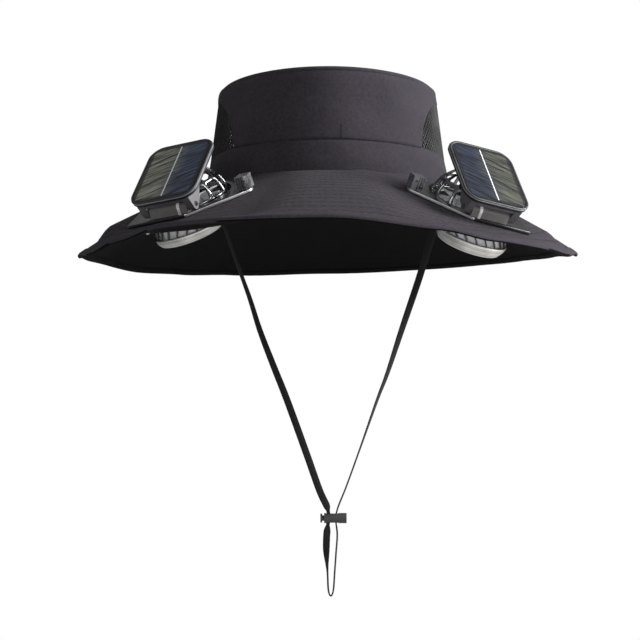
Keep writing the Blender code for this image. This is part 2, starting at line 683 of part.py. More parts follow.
def smooth_route(points, count):
    """Evenly spaced points on a smooth curve through the route's own points."""
    route = [Vector((x, 0.0, z)) for x, z in points]
    fine = []
    for i in range(len(route) - 1):
        before = route[max(i - 1, 0)]
        start, end = route[i], route[i + 1]
        after = route[min(i + 2, len(route) - 1)]
        for step in range(12):
            t = step / 12
            fine.append(0.5 * ((2 * start) + (end - before) * t
                               + (2 * before - 5 * start + 4 * end - after) * t ** 2
                               + (3 * start - before - 3 * end + after) * t ** 3))
    fine.append(route[-1])
    lengths = [0.0]
    for a, b in zip(fine, fine[1:]):
        lengths.append(lengths[-1] + (b - a).length)
    even = []
    place = 0
    for i in range(count):
        target = lengths[-1] * i / (count - 1)
        while place < len(lengths) - 2 and lengths[place + 1] < target:
            place += 1
        share = (target - lengths[place]) / (lengths[place + 1] - lengths[place])
        even.append(fine[place].lerp(fine[place + 1], share))
    return even


def build_strap():
    curve = bpy.data.curves.new("chin_strap", "CURVE")
    curve.dimensions = "3D"
    curve.bevel_depth = CORD_RADIUS * MM
    curve.bevel_resolution = 2
    curve.use_fill_caps = True
    route = smooth_route(STRAP_ROUTE, STRAP_POINTS)
    spline = curve.splines.new("POLY")
    spline.points.add(len(route) - 1)
    for point, place in zip(spline.points, route):
        point.co = (*(place * MM), 1.0)
    curve.materials.append(material("cord"))
    strap = bpy.data.objects.new("chin_strap", curve)
    bpy.context.scene.collection.objects.link(strap)


def build_cord_lock():
    z = LOCK_HEIGHT
    body = add_object(
        "toggle_body", cylinder((LOCK_LEFT, 0, z), (LOCK_RIGHT, 0, z), LOCK_RADIUS, 24), "matte_black")
    half = LOCK_SLOT_DEPTH / 2
    slot = prism([(LOCK_SLOT_LEFT, -half), (LOCK_SLOT_RIGHT, -half), (LOCK_SLOT_RIGHT, half),
                  (LOCK_SLOT_LEFT, half)], z - 8, z + 8)
    boolean(body, add_object("toggle_slot", slot, None))
    bore = cylinder((LOCK_LEFT - 2, 0, z), (LOCK_SLOT_LEFT + 1, 0, z), BUTTON_STEM_RADIUS + 0.3, 16)
    boolean(body, add_object("toggle_bore", bore, None))
    head = cylinder((BUTTON_HEAD_LEFT, 0, z), (BUTTON_HEAD_LEFT + BUTTON_HEAD_THICKNESS, 0, z),
                    BUTTON_HEAD_RADIUS, 24)
    button = add_object("toggle_button", head, "matte_black")
    stem = cylinder((BUTTON_HEAD_LEFT + 0.5, 0, z), (BUTTON_STEM_END, 0, z), BUTTON_STEM_RADIUS, 16)
    boolean(button, add_object("button_stem", stem, None), "UNION")


def main():
    clear_scene()
    build_crown()
    build_brim()
    for side, name in ((-1, "left"), (1, "right")):
        place = unit_place(side)
        build_frame(side, name, place)
        build_clip(side, name, place)
        tilted = place @ Matrix.Rotation(side * BALL_TILTS[side], 4, "X")
        build_cage(name, tilted)
        build_shroud(side, name, tilted)
        build_rotor(side, name, tilted)
        build_panel(side, name, place)
        build_arm(side, name, place)
    build_strap()
    build_cord_lock()


main()
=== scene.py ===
# %% [markdown]
# A wide-brimmed sun hat carries a fan unit at each side of its brim, and each unit has a solar panel on a
# hinge. The hard and the soft parts are already a measured model. Here each one gets its real surface: cloth
# with rows of stitching, plated ribs, glossy plastic and a braided cord.

# %% Load the measured model
import math

import bmesh
import bpy
from mathutils import Matrix, Vector, noise


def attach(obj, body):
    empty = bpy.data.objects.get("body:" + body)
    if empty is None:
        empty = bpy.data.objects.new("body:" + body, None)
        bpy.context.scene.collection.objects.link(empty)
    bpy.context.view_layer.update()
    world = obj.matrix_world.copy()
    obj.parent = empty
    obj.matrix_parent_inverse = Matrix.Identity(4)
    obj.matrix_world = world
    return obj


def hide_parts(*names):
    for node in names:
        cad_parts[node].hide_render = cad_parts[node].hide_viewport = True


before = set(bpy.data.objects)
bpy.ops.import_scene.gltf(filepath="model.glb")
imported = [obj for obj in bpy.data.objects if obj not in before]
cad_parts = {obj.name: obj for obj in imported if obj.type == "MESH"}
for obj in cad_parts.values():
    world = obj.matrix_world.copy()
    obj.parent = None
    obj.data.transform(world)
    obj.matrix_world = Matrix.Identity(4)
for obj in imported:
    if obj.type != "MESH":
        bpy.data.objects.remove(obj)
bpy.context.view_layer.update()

MM = 0.001

# %% [markdown]
# The camera comes first, since the cords are judged by its view. The photograph was taken from a metre in front
# and from well below the crown, so the underside of the brim shows. A small upward tilt keeps the hat in the
# upper part of the picture. It could be done by shifting the lens, but here the camera is tilted.

# %% Camera
lens = bpy.data.cameras.new("camera")
lens.lens = 81.5
lens.sensor_width = 36.0
lens.clip_start = 0.05
camera = bpy.data.objects.new("camera", lens)
camera.location = (0.0, -1.0, -0.150)
camera.rotation_euler = (math.radians(90.0 + 3.61), 0.0, math.radians(0.30))
bpy.context.scene.collection.objects.link(camera)
bpy.context.scene.camera = camera
print("camera with a lens of", lens.lens, "mm")

# %% [markdown]
# Materials are small node trees. One helper adds a node and joins its inputs, so a tree reads from top to bottom
# like a recipe. Each finish starts from a Principled shader, whose plain numbers are set on its own sockets.

# %% Helpers for materials


def finish(name, colour, roughness, **settings):
    """A new material: its tree, its shader and itself."""
    made = bpy.data.materials.new(name)
    made.use_nodes = True
    shader = made.node_tree.nodes["Principled BSDF"]
    shader.inputs["Base Color"].default_value = (*colour, 1.0)
    shader.inputs["Roughness"].default_value = roughness
    for socket, value in settings.items():
        shader.inputs[socket.replace("_", " ")].default_value = value
    return made, made.node_tree, shader


def node(tree, kind, values=(), **settings):
    """Adds a node, sets it, and fills its inputs in order; an input that is another node's output is joined."""
    made = tree.nodes.new(kind)
    for key, value in settings.items():
        setattr(made, key, value)
    for key, value in dict(values).items():
        if isinstance(value, bpy.types.NodeSocket):
            tree.links.new(value, made.inputs[key])
        else:
            made.inputs[key].default_value = value
    return made


def maths(tree, operation, first, second=0.0, third=0.0):
    return node(tree, "ShaderNodeMath", {0: first, 1: second, 2: third}, operation=operation).outputs[0]


def remap(tree, value, low, high, to_low=0.0, to_high=1.0):
    values = {"Value": value, "From Min": low, "From Max": high, "To Min": to_low, "To Max": to_high}
    return node(tree, "ShaderNodeMapRange", values).outputs["Result"]


def blend_colours(tree, share, first, second):
    made = node(tree, "ShaderNodeMix", {0: share}, data_type="RGBA")
    for key, value in ((6, first), (7, second)):
        if isinstance(value, bpy.types.NodeSocket):
            tree.links.new(value, made.inputs[key])
        else:
            made.inputs[key].default_value = (*value, 1.0)
    return made.outputs[2]


def grain(tree, place, scale, detail=3.0, roughness=0.6):
    values = {"Vector": place, "Scale": scale, "Detail": detail, "Roughness": roughness}
    return node(tree, "ShaderNodeTexNoise", values).outputs[0]


def bump(tree, shader, height, strength, distance):
    values = {"Height": height, "Strength": strength, "Distance": distance}
    tree.links.new(node(tree, "ShaderNodeBump", values).outputs[0], shader.inputs["Normal"])


def object_place(tree):
    return node(tree, "ShaderNodeTexCoord").outputs["Object"]


def sewing_place(tree):
    """The two coordinates that run round a cloth piece and across it, in millimetres."""
    split = node(tree, "ShaderNodeSeparateXYZ", {0: node(tree, "ShaderNodeTexCoord").outputs["UV"]})
    return split.outputs[0], split.outputs[1]


# %% [markdown]
# The hat is sewn from a dark woven cloth with a faint purple cast. Its brim is held flat by many rows of
# stitching, and the rows show as thin dark lines of short stitches, darkened partly by their thread and partly
# with painted shade where they sink in. The rows follow the rim, so they are drawn on the piece's own map,
# whose first axis runs round the hat and whose second runs across the cloth.
# Below, the brim takes the same cloth painted near black, as painted shade, and with no sheen.

# %% Cloth
DARK_CLOTH, LIGHT_CLOTH = (0.021, 0.0180, 0.0225), (0.050, 0.0440, 0.0540)
ROW_GAP, STITCH_LENGTH = 5.4, 4.2


def cloth(name, tone=1.0, row_gap=0.0, tuck=None):
    """Woven cloth; row_gap sews rows of stitches, darkened partly with painted shade, and tuck is a short crease,
    darkened with painted shade: low, high and its x in metres.
    """
    dark = tuple(tone * c for c in DARK_CLOTH)
    light = tuple(tone * c for c in LIGHT_CLOTH)
    darkest = tuple(0.3 * c for c in dark)
    made, tree, shader = finish(name, dark, 0.88, Sheen_Weight=0.05, Sheen_Roughness=0.45,
                                Specular_IOR_Level=0.06)
    place = object_place(tree)
    slub = grain(tree, place, 520.0, 4.0, 0.7)
    cloud = grain(tree, place, 26.0, 2.0)
    weave_values = {"Vector": place, "Scale": 900.0, "Distortion": 2.0, "Detail": 1.0}
    weave = node(tree, "ShaderNodeTexWave", weave_values, bands_direction="DIAGONAL").outputs["Fac"]
    share = maths(tree, "MULTIPLY_ADD", slub, 0.75, maths(tree, "MULTIPLY_ADD", weave, 0.22, -0.18))
    share = maths(tree, "MULTIPLY_ADD", cloud, 0.35, share)
    share = remap(tree, share, 0.22, 0.80)
    height = maths(tree, "ADD", slub, maths(tree, "MULTIPLY", weave, 0.5))
    colour = blend_colours(tree, share, dark, light)
    if row_gap:
        around, across = sewing_place(tree)
        row = maths(tree, "FRACT", maths(tree, "DIVIDE", across, row_gap))
        off = maths(tree, "MULTIPLY", maths(tree, "ABSOLUTE", maths(tree, "SUBTRACT", row, 0.5)), row_gap)
        groove = remap(tree, off, 0.3, 1.3, 1.0, 0.0)
        shifted = maths(tree, "ADD", around, maths(tree, "MULTIPLY", cloud, 9.0))
        stitch = maths(tree, "FRACT", maths(tree, "DIVIDE", shifted, STITCH_LENGTH))
        dash = maths(tree, "GREATER_THAN", stitch, 0.35)
        thread = maths(tree, "MULTIPLY", maths(tree, "LESS_THAN", off, 0.5), dash)
        # The stitches darken the cloth: partly their own thread, partly painted shade where they sink into it.
        colour = blend_colours(tree, maths(tree, "MULTIPLY", thread, 0.6), colour, darkest)
        height = maths(tree, "SUBTRACT", height, maths(tree, "MULTIPLY", groove, 0.7))
        height = maths(tree, "SUBTRACT", height, maths(tree, "MULTIPLY", thread, 1.0))
    if tuck:
        split = node(tree, "ShaderNodeSeparateXYZ", {0: place})
        low, high, middle = tuck
        line = maths(tree, "COMPARE", split.outputs[0], middle, 0.0007)
        reach = maths(tree, "COMPARE", split.outputs[2], (low + high) / 2, (high - low) / 2)
        front = maths(tree, "LESS_THAN", split.outputs[1], 0.0)
        mark = maths(tree, "MULTIPLY", maths(tree, "MULTIPLY", line, reach), front)
        # The crease is darkened along its line, as painted shade.
        colour = blend_colours(tree, maths(tree, "MULTIPLY", mark, 0.45), colour, darkest)
        height = maths(tree, "SUBTRACT", height, maths(tree, "MULTIPLY", mark, 3.0))
    tree.links.new(colour, shader.inputs["Base Color"])
    bump(tree, shader, height, 0.55, 0.0004)
    return made


brim_cloth = cloth("brim_cloth", row_gap=ROW_GAP)
edge_cloth = cloth("edge_cloth")
# The brim's underside cloth is the same cloth at 0.06 of its colour, near black, as painted shade.
painted_shade_cloth = cloth("painted_shade_cloth", tone=0.06)
painted_shade_cloth.node_tree.nodes["Principled BSDF"].inputs["Sheen Weight"].default_value = 0.0
wall_cloth = cloth("wall_cloth", tone=0.95, tuck=(0.0215, 0.031, 0.0084))
band_cloth = cloth("band_cloth", tone=0.95)
print("cloths", [m.name for m in (brim_cloth, edge_cloth, painted_shade_cloth, wall_cloth, band_cloth)])

# %% [markdown]
# Plastic and metal come next. The ribs are plated plastic, bright but not perfect, so their roughness wanders.
# The outlet ring is brushed: light and dark lines run round it. Black gloss takes its look from what it
# reflects, with dust kept in the roughness. The arm and hinge block are grained moulded plastic.

# %% Plastics and metals
GRAIN_DEPTH = 0.00008


def plated(name, colour, low, high, brushed=False):
    made, tree, shader = finish(name, colour, low, Metallic=1.0)
    place = object_place(tree)
    mottle = grain(tree, place, 90.0)
    if brushed:
        _, across = sewing_place(tree)
        lines = node(tree, "ShaderNodeCombineXYZ", {0: maths(tree, "MULTIPLY", across, 1.2)}).outputs[0]
        scratch = grain(tree, lines, 1.0, 4.0, 0.8)
        mottle = maths(tree, "MULTIPLY_ADD", scratch, 0.8, maths(tree, "MULTIPLY", mottle, 0.2))
        bump(tree, shader, scratch, 0.35, 0.0002)
    tree.links.new(remap(tree, mottle, 0.3, 0.7, low, high), shader.inputs["Roughness"])
    darkening, low_wear, high_wear = (0.28, 0.42, 0.62) if brushed else (0.72, 0.35, 0.75)
    worn = tuple(darkening * c for c in colour)
    wear = remap(tree, mottle, low_wear, high_wear)
    tree.links.new(blend_colours(tree, wear, colour, worn), shader.inputs["Base Color"])
    return made


def moulded(name, colour, roughness, coat=0.0, grain_scale=900.0, strength=0.25):
    made, tree, shader = finish(name, colour, roughness, Coat_Weight=coat, Coat_Roughness=0.06)
    place = object_place(tree)
    fine = grain(tree, place, grain_scale, 2.0)
    dust = grain(tree, place, 60.0, 3.0)
    lighter = tuple(min(1.0, 1.5 * c + 0.004) for c in colour)
    share = remap(tree, maths(tree, "MULTIPLY", fine, dust), 0.15, 0.5)
    tree.links.new(blend_colours(tree, share, colour, lighter), shader.inputs["Base Color"])
    tree.links.new(remap(tree, dust, 0.3, 0.75, roughness, roughness * 1.6 + 0.02), shader.inputs["Roughness"])
    bump(tree, shader, fine, strength, GRAIN_DEPTH)
    return made


dark_plate = plated("dark_plate", (0.20, 0.20, 0.21), 0.12, 0.26)
brushed = plated("brushed_ring", (0.62, 0.61, 0.58), 0.24, 0.44, brushed=True)
clip_plate = plated("clip_plate", (0.46, 0.46, 0.48), 0.20, 0.42)
satin = plated("satin_plate", (0.80, 0.80, 0.83), 0.30, 0.46)
polished = plated("polished_pin", (0.60, 0.60, 0.62), 0.10, 0.22)
black_gloss = moulded("black_gloss", (0.008, 0.008, 0.010), 0.22, coat=0.2, grain_scale=120.0, strength=0.02)
shell_black = moulded("shell_black", (0.009, 0.009, 0.011), 0.36, grain_scale=120.0, strength=0.02)
matte_black = moulded("matte_black", (0.022, 0.022, 0.024), 0.42)
base_grey = moulded("base_grey", (0.125, 0.121, 0.118), 0.38)
arm_grey = moulded("arm_grey", (0.088, 0.083, 0.090), 0.46)
edge_grey = moulded("edge_grey", (0.14, 0.145, 0.155), 0.36, grain_scale=140.0, strength=0.0)
pale_blade = moulded("pale_blade", (0.60, 0.61, 0.62), 0.32, coat=0.2)
# A white plastic for the painted highlight on the hinge block's rounded edge.
painted_highlight_plastic = moulded("painted_highlight_plastic", (0.86, 0.86, 0.85), 0.35, grain_scale=200.0, strength=0.02)
pale_screen = moulded("pale_screen", (0.42, 0.42, 0.42), 0.5, grain_scale=1500.0, strength=0.6)
print("plastics and metals ready")

# %% [markdown]
# Under its clear face a solar panel has thin cells: dark blue to olive, with faint streaks, fine collector
# lines and one wide silver strip that joins them. All of it lies flat, so it is a pattern and not a shape.
# The panel's own map gives millimetres along the hinge and up the slope, and the pattern is drawn on that.

# %% Solar cells
CELLS_HALF_WIDTH, CELLS_HALF_LENGTH = 18.6, 23.2
LINE_GAP, JOINER_HALF_WIDTH = 1.7, 0.4
BLUE, OLIVE = (0.058, 0.088, 0.165), (0.310, 0.312, 0.255)


def cells_material(name, tone):
    """The right panel faces the key lamp and the left one the shade, so the right one's cells are painted darker by
    tone, as painted shade.
    """
    made, tree, shader = finish(name, (0.01, 0.012, 0.03), 0.30, Coat_Weight=0.25, Coat_Roughness=0.04,
                                Specular_IOR_Level=0.3)
    along, up = sewing_place(tree)
    slanted = maths(tree, "MULTIPLY_ADD", along, -0.35, up)
    warped = node(tree, "ShaderNodeCombineXYZ", {0: maths(tree, "MULTIPLY", along, 0.04),
                                                1: maths(tree, "MULTIPLY", slanted, 0.50)}).outputs[0]
    streak = grain(tree, warped, 1.0, 5.0, 0.65)
    stretched = node(tree, "ShaderNodeCombineXYZ", {0: maths(tree, "MULTIPLY", along, 0.05),
                                                   1: maths(tree, "MULTIPLY", up, 0.05)}).outputs[0]
    patch = grain(tree, stretched, 1.0)
    side = remap(tree, maths(tree, "ADD", along, maths(tree, "MULTIPLY", patch, 14.0)), 0.0, 14.0)
    pale_blue = tuple(tone * c for c in BLUE)
    pale_olive = tuple(tone * c for c in OLIVE)
    blue = blend_colours(tree, remap(tree, streak, 0.42, 0.66), (0.002, 0.003, 0.008), pale_blue)
    olive = blend_colours(tree, remap(tree, streak, 0.38, 0.66), (0.008, 0.009, 0.007), pale_olive)
    colour = blend_colours(tree, side, olive, blue)
    line = maths(tree, "FRACT", maths(tree, "DIVIDE", up, LINE_GAP))
    colour = blend_colours(tree, maths(tree, "MULTIPLY", maths(tree, "LESS_THAN", line, 0.12), 0.35), colour,
                           (0.10, 0.11, 0.12))
    aside, far_up = maths(tree, "ABSOLUTE", along), maths(tree, "ABSOLUTE", up)
    rim = maths(tree, "MAXIMUM", maths(tree, "GREATER_THAN", aside, CELLS_HALF_WIDTH),
                maths(tree, "GREATER_THAN", far_up, CELLS_HALF_LENGTH))
    colour = blend_colours(tree, maths(tree, "MULTIPLY", rim, 0.85), colour, (0.008, 0.008, 0.011))
    joiner = maths(tree, "MULTIPLY", maths(tree, "LESS_THAN", aside, JOINER_HALF_WIDTH),
                   maths(tree, "LESS_THAN", far_up, CELLS_HALF_LENGTH + 0.4))
    colour = blend_colours(tree, joiner, colour, (0.60, 0.61, 0.62))
    tree.links.new(colour, shader.inputs["Base Color"])
    tree.links.new(remap(tree, streak, 0.3, 0.7, 0.22, 0.40), shader.inputs["Roughness"])
    return made


# The right panel's cells are painted at 0.30 of the left's colour, as painted shade against the key lamp.
cells = {-1: cells_material("cells_left", 1.0), 1: cells_material("cells_right", 0.30)}
print("cells ready")

# %% [markdown]
# The chin strap is one flat braided cord, 5 mm wide and about 1 mm thick. It leaves the left side of the head
# opening, runs down through the cord lock, folds at the bottom and comes back up to the right side. A tape
# like this twists slowly as it hangs: each leg turns nearly a quarter between the hat and the lock. A round
# curve can't do that, so a flat ring is carried along the route and turned a little at each step.

# %% Chin strap
STRAP_ROUTE = (
    (-78.9, 14.0), (-79.6, 6.0), (-79.8, -2.0), (-77.0, -12.0), (-72.1, -21.5), (-66.0, -38.5),
    (-59.7, -55.8), (-53.5, -73.0), (-46.9, -93.8), (-37.8, -117.5), (-28.0, -142.0), (-14.5, -179.0),
    (-5.6, -204.0), (-0.2, -216.0), (0.5, -224.0), (-0.6, -234.0), (-0.9, -246.0), (-0.1, -260.0),
    (0.5, -272.0), (2.2, -275.8), (3.9, -272.0), (4.8, -260.0), (5.8, -246.0), (6.6, -234.0),
    (5.6, -224.0), (7.0, -216.0), (13.0, -201.0), (22.9, -173.8), (34.2, -142.0), (41.5, -123.0),
    (51.2, -93.8), (60.7, -66.1), (65.2, -52.3), (70.7, -34.4), (74.4, -22.5), (78.2, -12.0),
    (79.8, -2.0), (79.6, 6.0), (78.9, 14.0),
)
CORD_WIDTH, CORD_THICKNESS = 5.0, 1.1
BRAID_TURNS = 3.6  # radians a millimetre
LOCK_HEIGHT = -0.223  # the lock squeezes the tape here
LEFT_TURN, RIGHT_TURN = 66.0, 84.0


def smooth_route(points, steps):
    """A smooth curve through the route's points, as many steps to each stretch."""
    route = [Vector((x, 0.0, z)) for x, z in points]
    fine = []
    for i in range(len(route) - 1):
        before, start, end = route[max(i - 1, 0)], route[i], route[i + 1]
        after = route[min(i + 2, len(route) - 1)]
        for step in range(steps):
            t = step / steps
            fine.append(0.5 * (2 * start + (end - before) * t
                               + (2 * before - 5 * start + 4 * end - after) * t ** 2
                               + (3 * start - before - 3 * end + after) * t ** 3))
    return [p * MM for p in fine + [route[-1]]]


def smoothstep(low, high, value):
    share = min(1.0, max(0.0, (value - low) / (high - low)))
    return share * share * (3.0 - 2.0 * share)


def flatness(point, left_leg):
    """Turn of the tape about its own run: 0 shows its face to the front, a quarter turn its edge."""
    down = smoothstep(-0.02, -0.19, point.z)
    below = smoothstep(-0.235, -0.262, point.z)
    turn = LEFT_TURN * (1 - down) if left_leg else RIGHT_TURN * down
    return math.radians(turn * (1 - below) + RIGHT_TURN * below)


def next_ring(mesh, edges):
    """Pulls a new ring of edges out of the last one, in the same place: its points and its edges."""
    made = bmesh.ops.extrude_edge_only(mesh, edges=edges)["geom"]
    ring = [g for g in made if isinstance(g, bmesh.types.BMVert)]
    return ring, [g for g in made if isinstance(g, bmesh.types.BMEdge) and all(v in ring for v in g.verts)]


def tape(route):
    """The flat tape along the route, and how long it is."""
    mesh = bmesh.new()
    sewing = mesh.loops.layers.uv.new("UVMap")
    ring = bmesh.ops.create_circle(mesh, segments=10, radius=1.0, cap_ends=True)["verts"]
    for v in ring:
        v.co.x = math.copysign(abs(v.co.x) ** 0.6, v.co.x)
    flat_ring = [v.co.copy() for v in ring]
    lowest = min(range(len(route)), key=lambda i: route[i].z)
    edges = mesh.edges[:]
    front = Vector((0, -1, 0))
    run = 0.0
    for i, point in enumerate(route):
        ahead = route[min(i + 1, len(route) - 1)] - route[max(i - 1, 0)]
        along = ahead.normalized()
        turn = Matrix.Rotation(flatness(point, i < lowest), 3, along)
        wide, thick = turn @ along.cross(front).normalized(), turn @ front
        if i:
            run += (point - route[i - 1]).length
            ring, edges = next_ring(mesh, edges)
        pinch = smoothstep(0.0080, 0.0050, abs(point.z - LOCK_HEIGHT))
        width = CORD_WIDTH * (1 - 0.48 * pinch)
        for v, flat in zip(ring, flat_ring):
            v.co = point + (wide * flat.x * width + thick * flat.y * CORD_THICKNESS) * MM / 2
        for v in ring:
            for loop in v.link_loops:
                loop[sewing].uv = (0.0, run / MM)
    bmesh.ops.contextual_create(mesh, geom=edges)
    for face in mesh.faces:
        for loop in face.loops:
            middle = min(route, key=lambda p: (p - loop.vert.co).length_squared)
            loop[sewing].uv.x = (loop.vert.co - middle).length / MM * (1 if loop.vert.co.x > middle.x else -1)
    return mesh, run


def piece(name, mesh, body, material, nodes=(), sharp=35.0):
    """Makes a finished object, hangs it on its body and hides the measured parts it stands for."""
    bmesh.ops.recalc_face_normals(mesh, faces=mesh.faces)
    data = bpy.data.meshes.new(name)
    mesh.to_mesh(data)
    mesh.free()
    data.shade_smooth()
    data.set_sharp_from_angle(angle=math.radians(sharp))
    made = bpy.data.objects.new(name, data)
    bpy.context.scene.collection.objects.link(made)
    data.materials.append(material)
    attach(made, body)
    if nodes:
        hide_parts(*nodes)
    return made


def braid_material():
    made, tree, shader = finish("braided_cord", (0.008, 0.008, 0.009), 0.82, Sheen_Weight=0.05,
                                Specular_IOR_Level=0.1)
    across, along = sewing_place(tree)
    down = maths(tree, "MULTIPLY", along, BRAID_TURNS)
    over = maths(tree, "MULTIPLY", across, BRAID_TURNS)
    left = maths(tree, "SINE", maths(tree, "ADD", down, over))
    right = maths(tree, "SINE", maths(tree, "SUBTRACT", down, over))
    plait = maths(tree, "MAXIMUM", left, right)
    fuzz = grain(tree, object_place(tree), 700.0)
    share = remap(tree, maths(tree, "MULTIPLY_ADD", fuzz, 0.6, plait), -0.4, 1.4)
    colour = blend_colours(tree, share, (0.005, 0.005, 0.006), (0.024, 0.023, 0.025))
    tree.links.new(colour, shader.inputs["Base Color"])
    bump(tree, shader, plait, 0.6, 0.0002)
    return made


strap_route = smooth_route(STRAP_ROUTE, 5)
strap_mesh, strap_length = tape(strap_route)
strap = piece("flat_chin_strap", strap_mesh, "hat", braid_material(), ("chin_strap",), sharp=60.0)
print("chin strap", round(strap_length, 3), "m")

# %% [markdown]
# The floor and the wall behind it are one pale sheet that curves up, as in a photo studio, so no horizon shows.
# In the photograph the paper is pure white but the hat is dark and lit hard from its right. So paper and world
# look white to the camera alone, by a Light Path node, and give the hat only a soft low light. The small lamps
# in front are there for the metal: they are what its bright edges reflect.

# %% Studio
WORLD_LIGHT = 0.22
LEFT_FAN, RIGHT_FAN = (-0.09, -0.10, -0.02), (0.09, -0.10, -0.02)


def studio_sheet():
    mesh = bmesh.new()
    bmesh.ops.create_grid(mesh, x_segments=2, y_segments=40, size=1.0)
    for v in mesh.verts:
        turn = max(0.0, v.co.y) * math.pi / 2
        y = 6.0 * v.co.y if v.co.y < 0 else 2.5 * math.sin(turn)
        z = 0.0 if v.co.y < 0 else 2.5 * (1 - math.cos(turn))
        v.co = Vector((v.co.x * 8.0, y + 1.2, z - 0.302))
    data = bpy.data.meshes.new("studio_floor")
    mesh.to_mesh(data)
    mesh.free()
    data.shade_smooth()
    floor = bpy.data.objects.new("studio_floor", data)
    bpy.context.scene.collection.objects.link(floor)
    paper, tree, shader = finish("paper", (0.60, 0.60, 0.60), 0.9, Specular_IOR_Level=0.1)
    seen = node(tree, "ShaderNodeLightPath").outputs["Is Camera Ray"]
    shine = node(tree, "ShaderNodeEmission", {"Color": (1.0, 1.0, 1.0, 1.0), "Strength": 1.0}).outputs[0]
    mixed = node(tree, "ShaderNodeMixShader", {0: seen, 1: shader.outputs[0], 2: shine}).outputs[0]
    tree.links.new(mixed, tree.nodes["Material Output"].inputs["Surface"])
    data.materials.append(paper)


def lamp(name, place, aim, size, power):
    light = bpy.data.lights.new(name, "AREA")
    light.size = size
    light.energy = power
    made = bpy.data.objects.new(name, light)
    made.location = place
    made.rotation_euler = (Vector(aim) - Vector(place)).to_track_quat("-Z", "Y").to_euler()
    bpy.context.scene.collection.objects.link(made)


studio_sheet()
lamp("key", (1.55, -0.20, 0.72), (0.0, 0.0, 0.0), 0.9, 78.0)
lamp("left_glint", (-1.0, -1.1, 0.55), LEFT_FAN, 0.22, 2.0)
lamp("right_glint", (0.7, -1.3, 0.75), RIGHT_FAN, 0.22, 3.0)
lamp("left_card", (-0.75, -1.35, 0.15), LEFT_FAN, 0.5, 1.5)
lamp("right_card", (0.75, -1.35, 0.15), RIGHT_FAN, 0.5, 1.5)
lamp("low_glint", (0.0, -1.2, -0.28), (0.0, -0.10, -0.05), 0.4, 0.8)
world = bpy.data.worlds.new("studio")
world.use_nodes = True
world.node_tree.nodes["Background"].inputs["Color"].default_value = (1.0, 1.0, 1.0, 1.0)
seen = node(world.node_tree, "ShaderNodeLightPath").outputs["Is Camera Ray"]
strength = maths(world.node_tree, "MULTIPLY_ADD", seen, 1 - WORLD_LIGHT, WORLD_LIGHT)
world.node_tree.links.new(strength, world.node_tree.nodes["Background"].inputs["Strength"])
bpy.context.scene.world = world
bpy.context.scene.view_settings.view_transform = "Standard"
print("paper, world and six lamps")

# %% [markdown]
# A sewn surface is a grid of cloth bent to a form: its rows run round the hat and its columns across it. The
# grid is made flat by one operator, keeps its flat map, and then each point moves to its place on the form.
# Where the grid closes on itself its two ends are merged, so no seam shows.

# %% Grids bent to a form


def write_map(mesh, place):
    """Fills the piece's own map: place(vert) is where that point lies on it."""
    sewing = mesh.loops.layers.uv["UVMap"]
    for face in mesh.faces:
        for loop in face.loops:
            loop[sewing].uv = place(loop.vert)


def bent_grid(columns, rows, place, lengths, closed=True):
    """A grid whose points go where place(u, v) says; its map is in millimetres, from the two lengths."""
    mesh = bmesh.new()
    mesh.loops.layers.uv.new("UVMap")
    bmesh.ops.create_grid(mesh, x_segments=columns, y_segments=rows, size=1.0)
    shares = {v: ((v.co.x + 1) / 2, (v.co.y + 1) / 2) for v in mesh.verts}
    write_map(mesh, lambda vert: (shares[vert][0] * lengths[0], shares[vert][1] * lengths[1]))
    for vert, (u, v) in shares.items():
        vert.co = Vector(place(u, v)) * MM
    if closed:
        bmesh.ops.remove_doubles(mesh, verts=mesh.verts, dist=0.00002)
    return mesh


def thicken(made, thickness, offset=0.0):
    wall = made.modifiers.new("thickness", "SOLIDIFY")
    wall.thickness = thickness * MM
    wall.offset = offset
    wall.use_even_offset = True


def soften(made, width, segments):
    edge = made.modifiers.new("soft edge", "BEVEL")
    edge.width = width * MM
    edge.segments = segments
    edge.limit_method = "ANGLE"
    edge.angle_limit = math.radians(35.0)


def round_off(made):
    rounder = made.modifiers.new("rounding", "SUBSURF")
    rounder.levels = 2
    rounder.render_levels = 2


def mix(start, end, share):
    return start + (end - start) * share


# %% [markdown]
# The crown is a short oval tube: a lower band, an upper wall with an arched window at each side, and a slightly
# domed top sewn on with a rounded edge. Real cloth is never quite true, so the band and wall carry shallow
# folds made with a smooth noise. The window is cut by starting the wall's columns higher where the arch is.
# The band's upper edge is tucked under the wall and its lower edge into the brim, so no light comes through.

# %% Crown
HEAD_HALF_X, HEAD_HALF_Y = 84.0, 100.0
TOP_HALF_X, TOP_HALF_Y = 75.0, 91.0
CROWN_HEIGHT, SEAM_HEIGHT = 71.0, 21.0
CLOTH = 1.6
VENT_HALF_LENGTH, VENT_HEIGHT, VENT_ROUNDNESS = 63.0, 41.0, 2.4
WALL_TOP = CROWN_HEIGHT - 2.0


def crown_point(angle, height, outset=0.0):
    share = height / CROWN_HEIGHT
    x = mix(HEAD_HALF_X, TOP_HALF_X, share) + outset
    y = mix(HEAD_HALF_Y, TOP_HALF_Y, share) + outset
    return (x * math.cos(angle), y * math.sin(angle), height)


def arch_height(angle):
    along = abs(crown_point(angle, SEAM_HEIGHT)[1]) / VENT_HALF_LENGTH
    return VENT_HEIGHT * math.sqrt(1 - along ** VENT_ROUNDNESS) if along < 1 else 0.0


def fold(angle, height, depth):
    """A shallow wave of the cloth, long round the crown and short up it."""
    seed = Vector((math.cos(angle) * 2.6, math.sin(angle) * 2.6, height * 0.075))
    return noise.noise(seed) * depth


